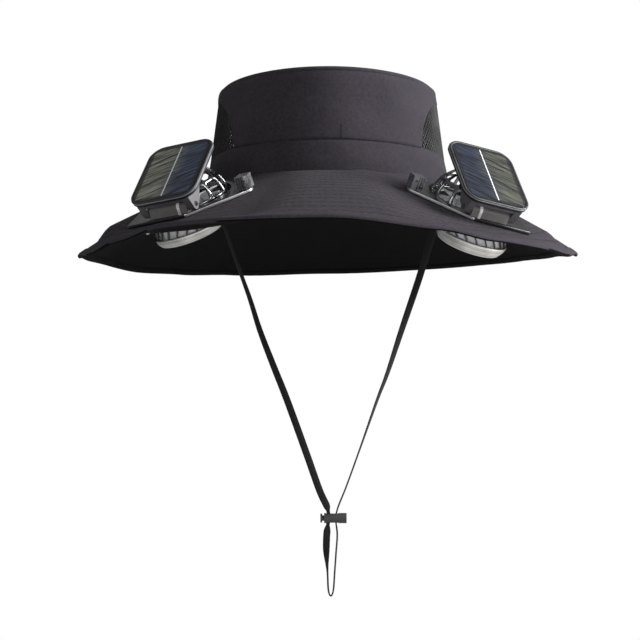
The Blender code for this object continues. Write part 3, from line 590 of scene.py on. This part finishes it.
def band_place(u, v):
    angle = 2 * math.pi * u
    height = mix(-0.9, SEAM_HEIGHT + 0.8, v)
    swell = 0.7 * math.sin(math.pi * v) + fold(angle, height, 1.5) * math.sin(math.pi * v)
    tuck_under = 0.5 * smoothstep(0.93, 1.0, v)
    return crown_point(angle, height, swell - 0.2 - tuck_under)


def wall_place(u, v):
    angle = 2 * math.pi * u
    low = SEAM_HEIGHT + 0.1 + arch_height(angle)
    height = mix(low, WALL_TOP, v)
    tuck_in = -1.6 * smoothstep(0.86, 1.0, v) ** 2
    return crown_point(angle, height, fold(angle, height, 1.1) * math.sin(math.pi * v) + tuck_in)


band = piece("sewn_crown_band", bent_grid(240, 12, band_place, (578.0, 21.0)), "hat", band_cloth,
             ("crown_band",))
thicken(band, CLOTH, -1.0)
wall = piece("sewn_crown_wall", bent_grid(288, 22, wall_place, (560.0, 48.0)), "hat", wall_cloth,
             ("crown_wall",))
thicken(wall, CLOTH, -1.0)
print("band and wall", len(band.data.polygons), len(wall.data.polygons))

# %% [markdown]
# The top panel is an oval disc with a rolled edge. It grows from a flat ring of edges: each new ring is
# extruded from the last, then drawn in and lifted, and the last ring is closed in the middle.

# %% Crown top
TOP_RINGS = ((1.0, -1.6), (1.004, -0.6), (1.0, 0.5), (0.988, 1.4), (0.965, 2.0), (0.92, 2.5), (0.8, 3.1),
             (0.6, 3.9), (0.4, 4.5), (0.2, 4.8), (0.04, 4.9))


def oval_rings(rings, half_x, half_y, low):
    """Rings drawn in and lifted one from another; each row of the table is a share of the size and a height."""
    mesh = bmesh.new()
    ring = bmesh.ops.create_circle(mesh, segments=192, radius=1.0)["verts"]
    circle = [v.co.copy() for v in ring]
    edges = mesh.edges[:]
    for step, (share, height) in enumerate(rings):
        if step:
            ring, edges = next_ring(mesh, edges)
        for v, flat in zip(ring, circle):
            v.co = Vector((flat.x * half_x * share, flat.y * half_y * share, low + height)) * MM
    bmesh.ops.contextual_create(mesh, geom=edges)
    return mesh


top_mesh = oval_rings(TOP_RINGS, TOP_HALF_X - 0.4, TOP_HALF_Y - 0.4, WALL_TOP - 1.0)
top = piece("sewn_crown_top", top_mesh, "hat", band_cloth, ("crown_top",), sharp=70.0)
thicken(top, CLOTH, -1.0)
print("crown top", len(top.data.polygons))

# %% [markdown]
# The windows are closed by an open diamond net. It is a real net: a grid is turned by 45 degrees, cut to the
# window's arch, bent to the crown, and each of its edges becomes a thread with the Wireframe modifier.

# %% Vents
NET_CELLS, NET_PITCH, NET_STRETCH = 62, 2.3, 1.25
NET_LAP = 1.5  # the net goes this far under the wall
NET_BEND, NET_DEPTH, THREAD = 97.0, 0.9, 1.25


def net(side, name):
    mesh = bmesh.new()
    mesh.loops.layers.uv.new("UVMap")
    bmesh.ops.create_grid(mesh, x_segments=NET_CELLS, y_segments=NET_CELLS, size=NET_CELLS * NET_PITCH / 2)
    bmesh.ops.rotate(mesh, matrix=Matrix.Rotation(math.radians(45), 3, "Z"), verts=mesh.verts)
    for v in mesh.verts:
        v.co.y = v.co.y * NET_STRETCH + VENT_HEIGHT / 2
    outside = []
    for face in mesh.faces:
        middle = face.calc_center_median()
        share = abs(middle.x) / (VENT_HALF_LENGTH + NET_LAP)
        arch = (VENT_HEIGHT + NET_LAP) * math.sqrt(1 - share ** VENT_ROUNDNESS) if share < 1 else -9
        if middle.y < -1.0 or middle.y > arch:
            outside.append(face)
    bmesh.ops.delete(mesh, geom=outside, context="FACES")
    write_map(mesh, lambda vert: vert.co.xy)
    for v in mesh.verts:
        angle = math.asin(max(-1.0, min(1.0, v.co.x / NET_BEND)))
        x, y, z = crown_point(angle, SEAM_HEIGHT + v.co.y, -NET_DEPTH)
        v.co = Vector((side * x, y, z)) * MM
    made = piece(f"diamond_net_{name}", mesh, "hat", net_thread, (f"vent_{name}",))
    threads = made.modifiers.new("threads", "WIREFRAME")
    threads.thickness = THREAD * MM
    threads.use_replace = True
    threads.use_even_offset = False
    return made


net_thread = moulded("net_thread", (0.009, 0.009, 0.010), 0.7)
nets = [net(side, name) for side, name in ((-1, "left"), (1, "right"))]
print("net cells", len(nets[0].data.polygons))

# %% [markdown]
# The brim hangs from the head opening, wide and a little uneven: its rim is lowest just outside the fan units
# and rises towards the back. Each unit presses a flat seat into it. The form is worked out point by point from
# the hard parts' measures, and the two round fan holes are cut with a cylinder that is thrown away afterwards.

# %% Brim
BRIM_HALF_X, BRIM_HALF_Y = 170.0, 190.0
BRIM_DROP, BRIM_CLOTH, BRIM_STRAIGHT = 41.0, 2.0, 0.66
EDGE_WIDTH, EDGE_THICKNESS = 6.0, 3.0
EDGE_TUCK = 0.02  # share of the width that goes into the binding
BRIM_HOLE = 30.4
RIM_HANG = (
    (0, 1.00, 1.00), (20, 1.00, 1.12), (32, 1.01, 1.22), (45, 1.14, 1.24), (58, 1.25, 1.26), (75, 1.16, 1.14),
    (90, 1.07, 1.02), (106, 1.04, 0.92), (123, 1.07, 0.87), (140, 1.02, 0.85), (155, 0.96, 0.85), (180, 0.88, 0.88),
)
UNIT_CENTRES = {-1: (-86.0, -95.0, -21.0), 1: (88.2, -95.0, -22.9)}
UNIT_UPS = {-1: (-0.28, -0.381, 0.881), 1: (0.328, -0.381, 0.864)}
UNIT_TURN = math.radians(19.7)
BALL_TILTS = {-1: math.radians(-3), 1: math.radians(1)}
SEAT_HEIGHT = 1.6
SEAT_START, SEAT_END = (0.0, 0.075), (0.86, 1.0)  # shares of the width where the seat comes and goes
SEAT_FRONT_FADE, SEAT_BACK_FADE = (24, 40), (13, 23)  # degrees round from the unit


def unit_place(side):
    """The frame of a fan unit: X outward, Z up out of the brim, the ball's centre at its origin."""
    centre = Vector(UNIT_CENTRES[side])
    up = Vector(UNIT_UPS[side]).normalized()
    radial = Vector((centre.x, centre.y, 0)).normalized()
    outward = (radial - radial.dot(up) * up).normalized()
    outward = Matrix.Rotation(-side * UNIT_TURN, 3, up) @ outward
    turn = Matrix((outward, up.cross(outward), up)).transposed().to_4x4()
    return Matrix.Translation(centre * MM) @ turn


def seat_plane(side, x, y):
    up = Vector(UNIT_UPS[side]).normalized()
    point = Vector(UNIT_CENTRES[side]) + SEAT_HEIGHT * up
    return point.z - ((x - point.x) * up.x + (y - point.y) * up.y) / up.z


def rim_hang(x, y):
    turn = math.degrees(math.atan2(abs(x), -y))
    side = 1 if x < 0 else 2
    for low, high in zip(RIM_HANG, RIM_HANG[1:]):
        if turn <= high[0]:
            return mix(low[side], high[side], smoothstep(low[0], high[0], turn))
    return RIM_HANG[-1][side]


def brim_point(angle, share):
    x = mix(HEAD_HALF_X, BRIM_HALF_X, share) * math.cos(angle)
    y = mix(HEAD_HALF_Y, BRIM_HALF_Y, share) * math.sin(angle)
    z = -BRIM_DROP * rim_hang(x, y) * (BRIM_STRAIGHT * share + (1 - BRIM_STRAIGHT) * share ** 2)
    for side, (unit_x, unit_y, _) in UNIT_CENTRES.items():
        away = math.degrees(math.atan2(side * x, -y) - math.atan2(side * unit_x, -unit_y))
        pull = smoothstep(*SEAT_START, share) * (1 - smoothstep(*SEAT_END, share))
        pull *= (1 - smoothstep(*SEAT_FRONT_FADE, -away)) * (1 - smoothstep(*SEAT_BACK_FADE, away))
        z = mix(z, seat_plane(side, x, y), pull)
    return (x, y, z)


def with_hole(made, places, radius):
    """Cuts a round hole at each place, once and for all."""
    cutters = []
    for place in places:
        mesh = bmesh.new()
        bmesh.ops.create_cone(mesh, cap_ends=True, segments=96, radius1=radius * MM, radius2=radius * MM,
                              depth=60 * MM, matrix=place)
        data = bpy.data.meshes.new("cutter")
        mesh.to_mesh(data)
        mesh.free()
        cutter = bpy.data.objects.new("cutter", data)
        bpy.context.scene.collection.objects.link(cutter)
        cut = made.modifiers.new("hole", "BOOLEAN")
        cut.operation = "DIFFERENCE"
        cut.solver = "EXACT"
        cut.object = cutter
        cutters.append(cutter)
    carved = bpy.data.meshes.new_from_object(made.evaluated_get(bpy.context.evaluated_depsgraph_get()))
    made.modifiers.clear()
    made.data = carved
    for cutter in cutters:
        bpy.data.objects.remove(cutter, do_unlink=True)


BRIM_WIDTH = BRIM_HALF_X - HEAD_HALF_X
inner_share = 1 - EDGE_WIDTH / BRIM_WIDTH
units = {side: unit_place(side) for side in (-1, 1)}
brim_mesh = bent_grid(300, 44, lambda u, v: brim_point(2 * math.pi * u, v * (inner_share + EDGE_TUCK)),
                      (850.0, 80.0))
brim = piece("stitched_brim", brim_mesh, "hat", brim_cloth, ("brim",))
thicken(brim, BRIM_CLOTH)
# The brim's underside takes the near-black cloth, as painted shade.
brim.data.materials.append(painted_shade_cloth)
brim.modifiers["thickness"].material_offset = 1
with_hole(brim, units.values(), BRIM_HOLE)
print("brim faces", len(brim.data.polygons))

# %% [markdown]
# A binding tape is folded over the rim and sewn down. It is a narrow flat tube, thicker than the brim, made as
# a grid that goes once round its own section. Its faces that look down or inwards get painted shade: the near-black
# cloth.

# %% Brim edge


def edge_place(u, v):
    """A flat tube round the rim: v goes once round its section."""
    angle = 2 * math.pi * u
    turn = 2 * math.pi * v
    flat = math.copysign(abs(math.cos(turn)) ** 0.7, math.cos(turn))
    share = mix(inner_share, 1.0, 0.5 + 0.5 * flat)
    puff = 0.5 * EDGE_THICKNESS * math.copysign(abs(math.sin(turn)) ** 0.5, math.sin(turn))
    puff *= 1 + 0.10 * noise.noise(Vector((math.cos(angle) * 30, math.sin(angle) * 30, 0)))
    here = Vector(brim_point(angle, share))
    across = Vector(brim_point(angle, 1.0)) - Vector(brim_point(angle, inner_share))
    around = Vector((-math.sin(angle) * BRIM_HALF_X, math.cos(angle) * BRIM_HALF_Y, 0))
    return here + across.cross(around).normalized() * puff


edge = piece("bound_brim_edge", bent_grid(360, 12, edge_place, (1130.0, 13.0)), "hat", edge_cloth,
             ("brim_edge",), sharp=70.0)
# Faces that look down or inwards take the near-black cloth, as painted shade.
edge.data.materials.append(painted_shade_cloth)
for face in edge.data.polygons:
    inward = Vector(face.center) * -1
    inward.z = 0
    if face.normal.z < -0.4 or (face.normal.z < 0.3 and face.normal.dot(inward.normalized()) > 0.5):
        face.material_index = 1
print("brim edge", len(edge.data.polygons))

# %% [markdown]
# The fan's ball has ribs above and a row of windows below. Each half starts as a grid bent to the ball. Faces
# that fall in a window are deleted, the rest get a wall, and two rounds of subdivision turn the flat ribs
# into smooth moulded ones. The outlet ring below the windows is spun from its own profile. The lower half is
# not straight: towards the outlet its rings move off the ball's axis, so the air leaves a little to one side.

# %% Fan ball
BALL_RADIUS, BALL_WALL = 27.0, 1.8
WINDOW_STEPS = 4


def lattice(ribs, rib_share, rows, solid_rows):
    """Rows are radius and height; between two ribs, the rows that aren't solid are open."""
    columns = ribs * (WINDOW_STEPS + 1)
    step = 2 * math.pi / ribs
    turns = []
    for rib in range(ribs):
        turns.append(step * rib)
        turns += [step * (rib + mix(rib_share, 1.0, k / WINDOW_STEPS)) for k in range(WINDOW_STEPS)]
    turns.append(2 * math.pi)
    mesh = bmesh.new()
    mesh.loops.layers.uv.new("UVMap")
    steps_up = len(rows) - 1
    bmesh.ops.create_grid(mesh, x_segments=columns, y_segments=steps_up, size=1.0)
    index = {v: (round((v.co.x + 1) / 2 * columns), round((v.co.y + 1) / 2 * steps_up)) for v in mesh.verts}
    windows = []
    for face in mesh.faces:
        column = min(index[v][0] for v in face.verts)
        row = min(index[v][1] for v in face.verts)
        if column % (WINDOW_STEPS + 1) and row not in solid_rows:
            windows.append(face)
    for vert, (column, row) in index.items():
        radius, height = rows[row]
        vert.co = Vector((radius * math.cos(turns[column]), radius * math.sin(turns[column]), height))
    write_map(mesh, lambda vert: (math.degrees(math.atan2(vert.co.y, vert.co.x)), vert.co.z))
    bmesh.ops.delete(mesh, geom=windows, context="FACES")
    bmesh.ops.remove_doubles(mesh, verts=mesh.verts, dist=0.001)
    return mesh


OUTLET_SHIFTS = {-1: 7.2, 1: 9.2}
LOWER_HALF_STRETCH = {-1: 1.0, 1: 1.25}
SHIFT_TOP, OUTLET_LOW = -3.5, -18.2


def lean(mesh, side):
    """Stretches the part below the collar and moves its rings off the axis, most at the outlet."""
    for v in mesh.verts:
        if v.co.z < 0:
            v.co.z *= LOWER_HALF_STRETCH[side]
        v.co.y += side * OUTLET_SHIFTS[side] * smoothstep(SHIFT_TOP, OUTLET_LOW, v.co.z)
    return mesh


def ball_rows(degrees):
    """Radius and height on the ball at each angle down from its pole."""
    turns = [math.radians(d) for d in degrees]
    return [(BALL_RADIUS * math.sin(t), BALL_RADIUS * math.cos(t)) for t in turns]


def spun(profile, steps):
    """A profile of radius and height, spun once round Z."""
    mesh = bmesh.new()
    chain = [mesh.verts.new((r, 0, z)) for r, z in profile]
    for a, b in zip(chain, chain[1:]):
        mesh.edges.new((a, b))
    bmesh.ops.spin(mesh, geom=mesh.verts[:] + mesh.edges[:], cent=(0, 0, 0), axis=(0, 0, 1), dvec=(0, 0, 0),
                   angle=2 * math.pi, steps=steps, use_merge=True, use_duplicate=False)
    bmesh.ops.remove_doubles(mesh, verts=mesh.verts, dist=0.001)
    bmesh.ops.recalc_face_normals(mesh, faces=mesh.faces)
    return mesh


def seat(mesh, place):
    """Takes a shape from the unit's millimetres to its place on the hat."""
    bmesh.ops.scale(mesh, vec=(MM, MM, MM), verts=mesh.verts)
    bmesh.ops.transform(mesh, matrix=place, verts=mesh.verts)
    return mesh


def ring_with_map(profile):
    mesh = spun(profile, 96)
    mesh.loops.layers.uv.new("UVMap")
    write_map(mesh, lambda vert: (0.0, vert.co.z))
    return mesh


CAGE_RIBS, WINDOW_RIBS, RIB_SHARE = 12, 22, 0.2
CAGE_DEGREES, CAGE_SOLID_ROWS = (13, 26, 40, 54, 60, 70, 79, 84), (3, 6)
WINDOW_DEGREES, WINDOW_SOLID_ROWS = (85.4, 96, 105, 112, 118), (0,)
CAP_HEIGHT = 26
OUTLET_PROFILE = (
    (23.9, -12.3), (24.1, -12.9), (23.6, -13.8), (22.8, -15.4), (21.4, -17.2), (20.5, -18.2), (19.7, -18.3),
    (19.1, -17.7), (21.0, -15.2), (22.3, -12.9), (22.6, -12.3), (23.9, -12.3),
)
SCREEN_PROFILE = (
    (24.6, -2.6), (24.0, -6.6), (22.9, -10.0), (22.2, -12.2), (21.8, -12.2), (22.5, -10.0), (23.6, -6.6),
    (24.2, -2.6), (24.6, -2.6),
)


def fan_ball(side, name, place):
    body = f"fan_{name}"
    cage = lattice(CAGE_RIBS, RIB_SHARE, ball_rows(CAGE_DEGREES), CAGE_SOLID_ROWS)
    pole = [e for e in cage.edges if e.is_boundary and all(v.co.z > CAP_HEIGHT for v in e.verts)]
    bmesh.ops.holes_fill(cage, edges=pole)
    windows = lean(lattice(WINDOW_RIBS, RIB_SHARE, ball_rows(WINDOW_DEGREES), WINDOW_SOLID_ROWS), side)
    for title, mesh, material, half in (("ribbed_cage", cage, dark_plate, "fan_cage"),
                                        ("window_band", windows, black_gloss, "fan_shroud")):
        made = piece(f"{title}_{name}", seat(mesh, place), body, material, (f"{half}_{name}",),
                     sharp=60.0)
        thicken(made, BALL_WALL, -1.0)
        round_off(made)
    outlet = seat(lean(ring_with_map(OUTLET_PROFILE), side), place)
    piece(f"outlet_ring_{name}", outlet, body, brushed, sharp=50.0)
    screen = seat(lean(ring_with_map(SCREEN_PROFILE), side), place)
    piece(f"inner_screen_{name}", screen, body, pale_screen)


# %% [markdown]
# Inside the ball a light grey impeller turns on a plated motor. A blade is a small grid, twisted so that it
# is steep at the hub and flatter at the tip, and bowed a little. Seven of them stand round the domed hub.

# %% Rotor and motor
BLADE_SECTIONS = ((7.0, 42, 3.6), (15.0, 33, 5.2), (21.5, 26, 5.8))  # reach, pitch in degrees, half the chord
BLADES, BLADE_THICKNESS, BLADE_RISE, BLADE_BOW = 7, 1.0, 0.8, 0.5
HUB_LOW, HUB_HEIGHT = -0.7, 8.0
HUB_PROFILE = ((0.0, 7.3), (3.0, 7.2), (6.0, 6.7), (7.9, 5.5), (8.5, 3.6), (8.5, -0.5), (7.9, -0.7), (0.0, -0.7))


def blade_place(side, u, v):
    """u runs out along the blade and v across it."""
    at = u * (len(BLADE_SECTIONS) - 1)
    first = min(int(at), len(BLADE_SECTIONS) - 2)
    inner, outer = BLADE_SECTIONS[first:first + 2]
    reach, pitch, half = [mix(a, b, at - first) for a, b in zip(inner, outer)]
    slope = math.radians(pitch)
    share = 2 * v - 1
    across = share * half * math.cos(slope)
    up = HUB_LOW + HUB_HEIGHT / 2 + share * side * half * math.sin(slope) * BLADE_RISE
    up += BLADE_BOW * (1 - share ** 2)
    return (math.sqrt(max(reach ** 2 - across ** 2, 0.0)), across, up)


def rotor(side, name, place):
    mesh = spun(HUB_PROFILE, 40)
    for blade in range(BLADES):
        wing = bent_grid(8, 6, lambda u, v: Vector(blade_place(side, u, v)) / MM, (1.0, 1.0), closed=False)
        bmesh.ops.solidify(wing, geom=wing.faces[:], thickness=BLADE_THICKNESS)
        bmesh.ops.rotate(wing, matrix=Matrix.Rotation(2 * math.pi * blade / BLADES, 3, "Z"), verts=wing.verts)
        kept = bpy.data.meshes.new("wing")
        wing.to_mesh(kept)
        wing.free()
        mesh.from_mesh(kept)
        bpy.data.meshes.remove(kept)
    body = f"rotor_{name}"
    piece(f"impeller_{name}", seat(mesh, place), body, pale_blade, (body,))


# %% [markdown]
# The bezel is a glossy plate round the ball, drawn out to a point beyond the panel's hinge and to a lug under
# the clip. Its outline is a belt round several circles, which is just what the convex hull operator gives. Its
# edge is plated from the arm to the clip, and a collar inside it holds the ball.

# %% Bezel
FLANGE_LOW, FLANGE_HIGH = 2.9, 4.9
BELT = (  # x, y, radius and points of each circle
    (0.0, 0.0, 31.4, 72), (2.0, 42.1, 4.0, 24), (3.0, 42.1, 4.0, 24), (35.0, -24.5, 2.5, 20), (32.0, 13.4, 3.0, 20),
)
BORE_RADIUS = 28.0
COLLAR_PROFILE = (
    (28.0, -2.1), (29.7, -2.1), (29.9, -1.8), (29.9, 4.2), (29.4, 4.85), (28.5, 4.85), (28.0, 4.4), (28.0, -2.1),
)
BRIGHT_FROM = 8  # the edge is plated from here to the clip


def sided(x, y, side):
    """The right unit's Y runs to the back, so its outline is turned over."""
    return (x, -side * y)


def bezel(side, name, place):
    mesh = bmesh.new()
    for x, y, radius, count in BELT:
        for height in (FLANGE_LOW, FLANGE_HIGH):
            middle = Matrix.Translation((*sided(x, y, side), height))
            bmesh.ops.create_circle(mesh, segments=count, radius=radius, matrix=middle)
    hull = bmesh.ops.convex_hull(mesh, input=mesh.verts[:], use_existing_faces=False)
    spare = {g for g in hull["geom_interior"] + hull["geom_unused"] if isinstance(g, bmesh.types.BMVert)}
    bmesh.ops.delete(mesh, geom=list(spare), context="VERTS")
    bmesh.ops.dissolve_limit(mesh, angle_limit=math.radians(1), verts=mesh.verts, edges=mesh.edges)
    made = piece(f"gloss_bezel_{name}", seat(mesh, place), "hat", black_gloss,
                 (f"frame_{name}",))
    with_hole(made, [place], BORE_RADIUS)
    made.data.materials.append(satin)
    up = place.to_3x3() @ Vector((0, 0, 1))
    to_unit = place.inverted()
    for face in made.data.polygons:
        centre = to_unit @ face.center / MM
        if abs(face.normal.dot(up)) < 0.5 and centre.xy.length > BORE_RADIUS + 2 and -side * centre.y > BRIGHT_FROM:
            face.material_index = 1
    soften(made, 0.5, 3)
    piece(f"collar_{name}", seat(spun(COLLAR_PROFILE, 96), place), "hat", black_gloss)


# %% [markdown]
# The panel is a shallow tray with rounded corners and a lighter moulded edge. A square is given round corners
# with a vertex bevel, pulled to a plate, and its face is inset and sunk to take the cells.

# %% Panel
PANEL_CENTRE = (14.7, 3.4, 28.1)
PANEL_TILT = math.radians(21.1)
PANEL_WIDTH, PANEL_LENGTH, PANEL_CORNER = 46.0, 55.0, 10.0
TRAY_THICKNESS, TRAY_RIM, CELL_DEPTH = 3.2, 2.0, 0.6
LINE_OUT = 0.25  # the moulded line stands out this far round the tray
SHEET_GAP = 0.1


def panel_frame(side, place):
    x, y, z = PANEL_CENTRE
    slope = Vector((-math.cos(PANEL_TILT), 0, math.sin(PANEL_TILT)))
    out = Vector((math.sin(PANEL_TILT), 0, math.cos(PANEL_TILT)))
    turn = Matrix((Vector((0, 1, 0)), slope, out)).transposed().to_4x4()
    return place @ Matrix.Translation(Vector((x, -side * y, z)) * MM) @ turn


def rounded_plate(width, length, corner, low, high):
    mesh = bmesh.new()
    bmesh.ops.create_grid(mesh, x_segments=1, y_segments=1, size=0.5)
    bmesh.ops.scale(mesh, vec=(width, length, 1), verts=mesh.verts)
    bmesh.ops.bevel(mesh, geom=mesh.verts[:], offset=corner, offset_type="OFFSET", segments=8, profile=0.5,
                    affect="VERTICES", material=-1)
    bmesh.ops.translate(mesh, vec=(0, 0, low), verts=mesh.verts)
    top = bmesh.ops.extrude_face_region(mesh, geom=mesh.faces[:])["geom"]
    lifted = [g for g in top if isinstance(g, bmesh.types.BMVert)]
    bmesh.ops.translate(mesh, vec=(0, 0, high - low), verts=lifted)
    bmesh.ops.recalc_face_normals(mesh, faces=mesh.faces)
    return mesh


def panel(side, name, place):
    body = f"panel_{name}"
    frame_of_panel = panel_frame(side, place)
    tray = rounded_plate(PANEL_WIDTH, PANEL_LENGTH, PANEL_CORNER, -TRAY_THICKNESS, 0.0)
    face = max(tray.faces, key=lambda f: f.calc_center_median().z)
    bmesh.ops.inset_region(tray, faces=[face], thickness=TRAY_RIM - 0.2, depth=0.0)
    well = bmesh.ops.extrude_face_region(tray, geom=[face])["geom"]
    bmesh.ops.delete(tray, geom=[face], context="FACES_ONLY")
    sunk = [g for g in well if isinstance(g, bmesh.types.BMVert)]
    bmesh.ops.translate(tray, vec=(0, 0, -CELL_DEPTH - 0.3), verts=sunk)
    made = piece(f"panel_shell_{name}", seat(tray, frame_of_panel), body, shell_black,
                 (f"panel_tray_{name}",))
    soften(made, 0.7, 3)
    line = rounded_plate(PANEL_WIDTH + 2 * LINE_OUT, PANEL_LENGTH + 2 * LINE_OUT, PANEL_CORNER + LINE_OUT,
                         -1.5, -0.75)
    made = piece(f"panel_edge_line_{name}", seat(line, frame_of_panel), body, edge_grey)
    soften(made, LINE_OUT, 2)
    inset = 2 * (TRAY_RIM + SHEET_GAP)
    sheet = rounded_plate(PANEL_WIDTH - inset, PANEL_LENGTH - inset, PANEL_CORNER - TRAY_RIM, -CELL_DEPTH, -0.05)
    sheet.loops.layers.uv.new("UVMap")
    write_map(sheet, lambda vert: (-side * vert.co.x, vert.co.y))
    piece(f"cell_sheet_{name}", seat(sheet, frame_of_panel), body, cells[side],
          (f"solar_cells_{name}",))


# %% [markdown]
# The clip's ribs, the arm, the hinge block, the pins, the motors and the cord lock have the right shape as
# measured, so they keep it and only take a better finish. A white strip on the hinge block near the arm is a
# painted highlight, standing for the light on the block's rounded edge, and the head of a small screw shows under
# the brim.

# %% Small parts
KEPT = {
    "clip": clip_plate, "panel_arm": arm_grey, "panel_base": base_grey, "hinge_pin": polished,
    "motor": polished,
}
HINGE_X, STRIP_RADIUS, STRIP_LOW, STRIP_CLIMB = 31.0, 3.7, 5.0, 4.2
STRIP_SIDE, STRIP_WIDTH, STRIP_THICKNESS = 9.6, 2.0, 0.3
STRIP_STRAIGHT = 0.35  # share of its run before it bends over the block's top
SCREW_PROFILE = ((0.0, -2.2), (0.9, -2.1), (1.4, -1.7), (1.4, 0.5), (0.0, 0.5))
SCREW_PLACE = (38.0, -13.0)


def strip_place(side, u, v):
    """Up the hinge block's outer face and over its round top."""
    turn = max(0.0, u - STRIP_STRAIGHT) / (1 - STRIP_STRAIGHT) * math.radians(120)
    x = HINGE_X + STRIP_RADIUS * math.cos(turn)
    z = STRIP_LOW + STRIP_CLIMB * min(1.0, u / STRIP_STRAIGHT) + STRIP_RADIUS * math.sin(turn)
    return (*sided(x, STRIP_SIDE + STRIP_WIDTH * v, side), z)


def small_parts(side, name, place):
    for part, material in KEPT.items():
        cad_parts[f"{part}_{name}"].material_slots[0].material = material
    # The painted highlight: a thin white strip up the hinge block's outer face and over its round top.
    strip = bent_grid(14, 1, lambda u, v: Vector(strip_place(side, u, v)) / MM, (1.0, 1.0), closed=False)
    bmesh.ops.solidify(strip, geom=strip.faces[:], thickness=STRIP_THICKNESS)
    piece(f"bright_strip_{name}", seat(strip, place), "hat", painted_highlight_plastic)
    screw = spun(SCREW_PROFILE, 20)
    bmesh.ops.translate(screw, vec=(*sided(*SCREW_PLACE, side), 0.0), verts=screw.verts)
    piece(f"brim_screw_{name}", seat(screw, place), "hat", polished)


for side, name in ((-1, "left"), (1, "right")):
    place = units[side]
    tilted = place @ Matrix.Rotation(side * BALL_TILTS[side], 4, "X")
    fan_ball(side, name, tilted)
    rotor(side, name, tilted)
    bezel(side, name, place)
    panel(side, name, place)
    small_parts(side, name, place)
    print("unit", name, "done")
for part in ("toggle_body", "toggle_button"):
    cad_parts[part].material_slots[0].material = matte_black
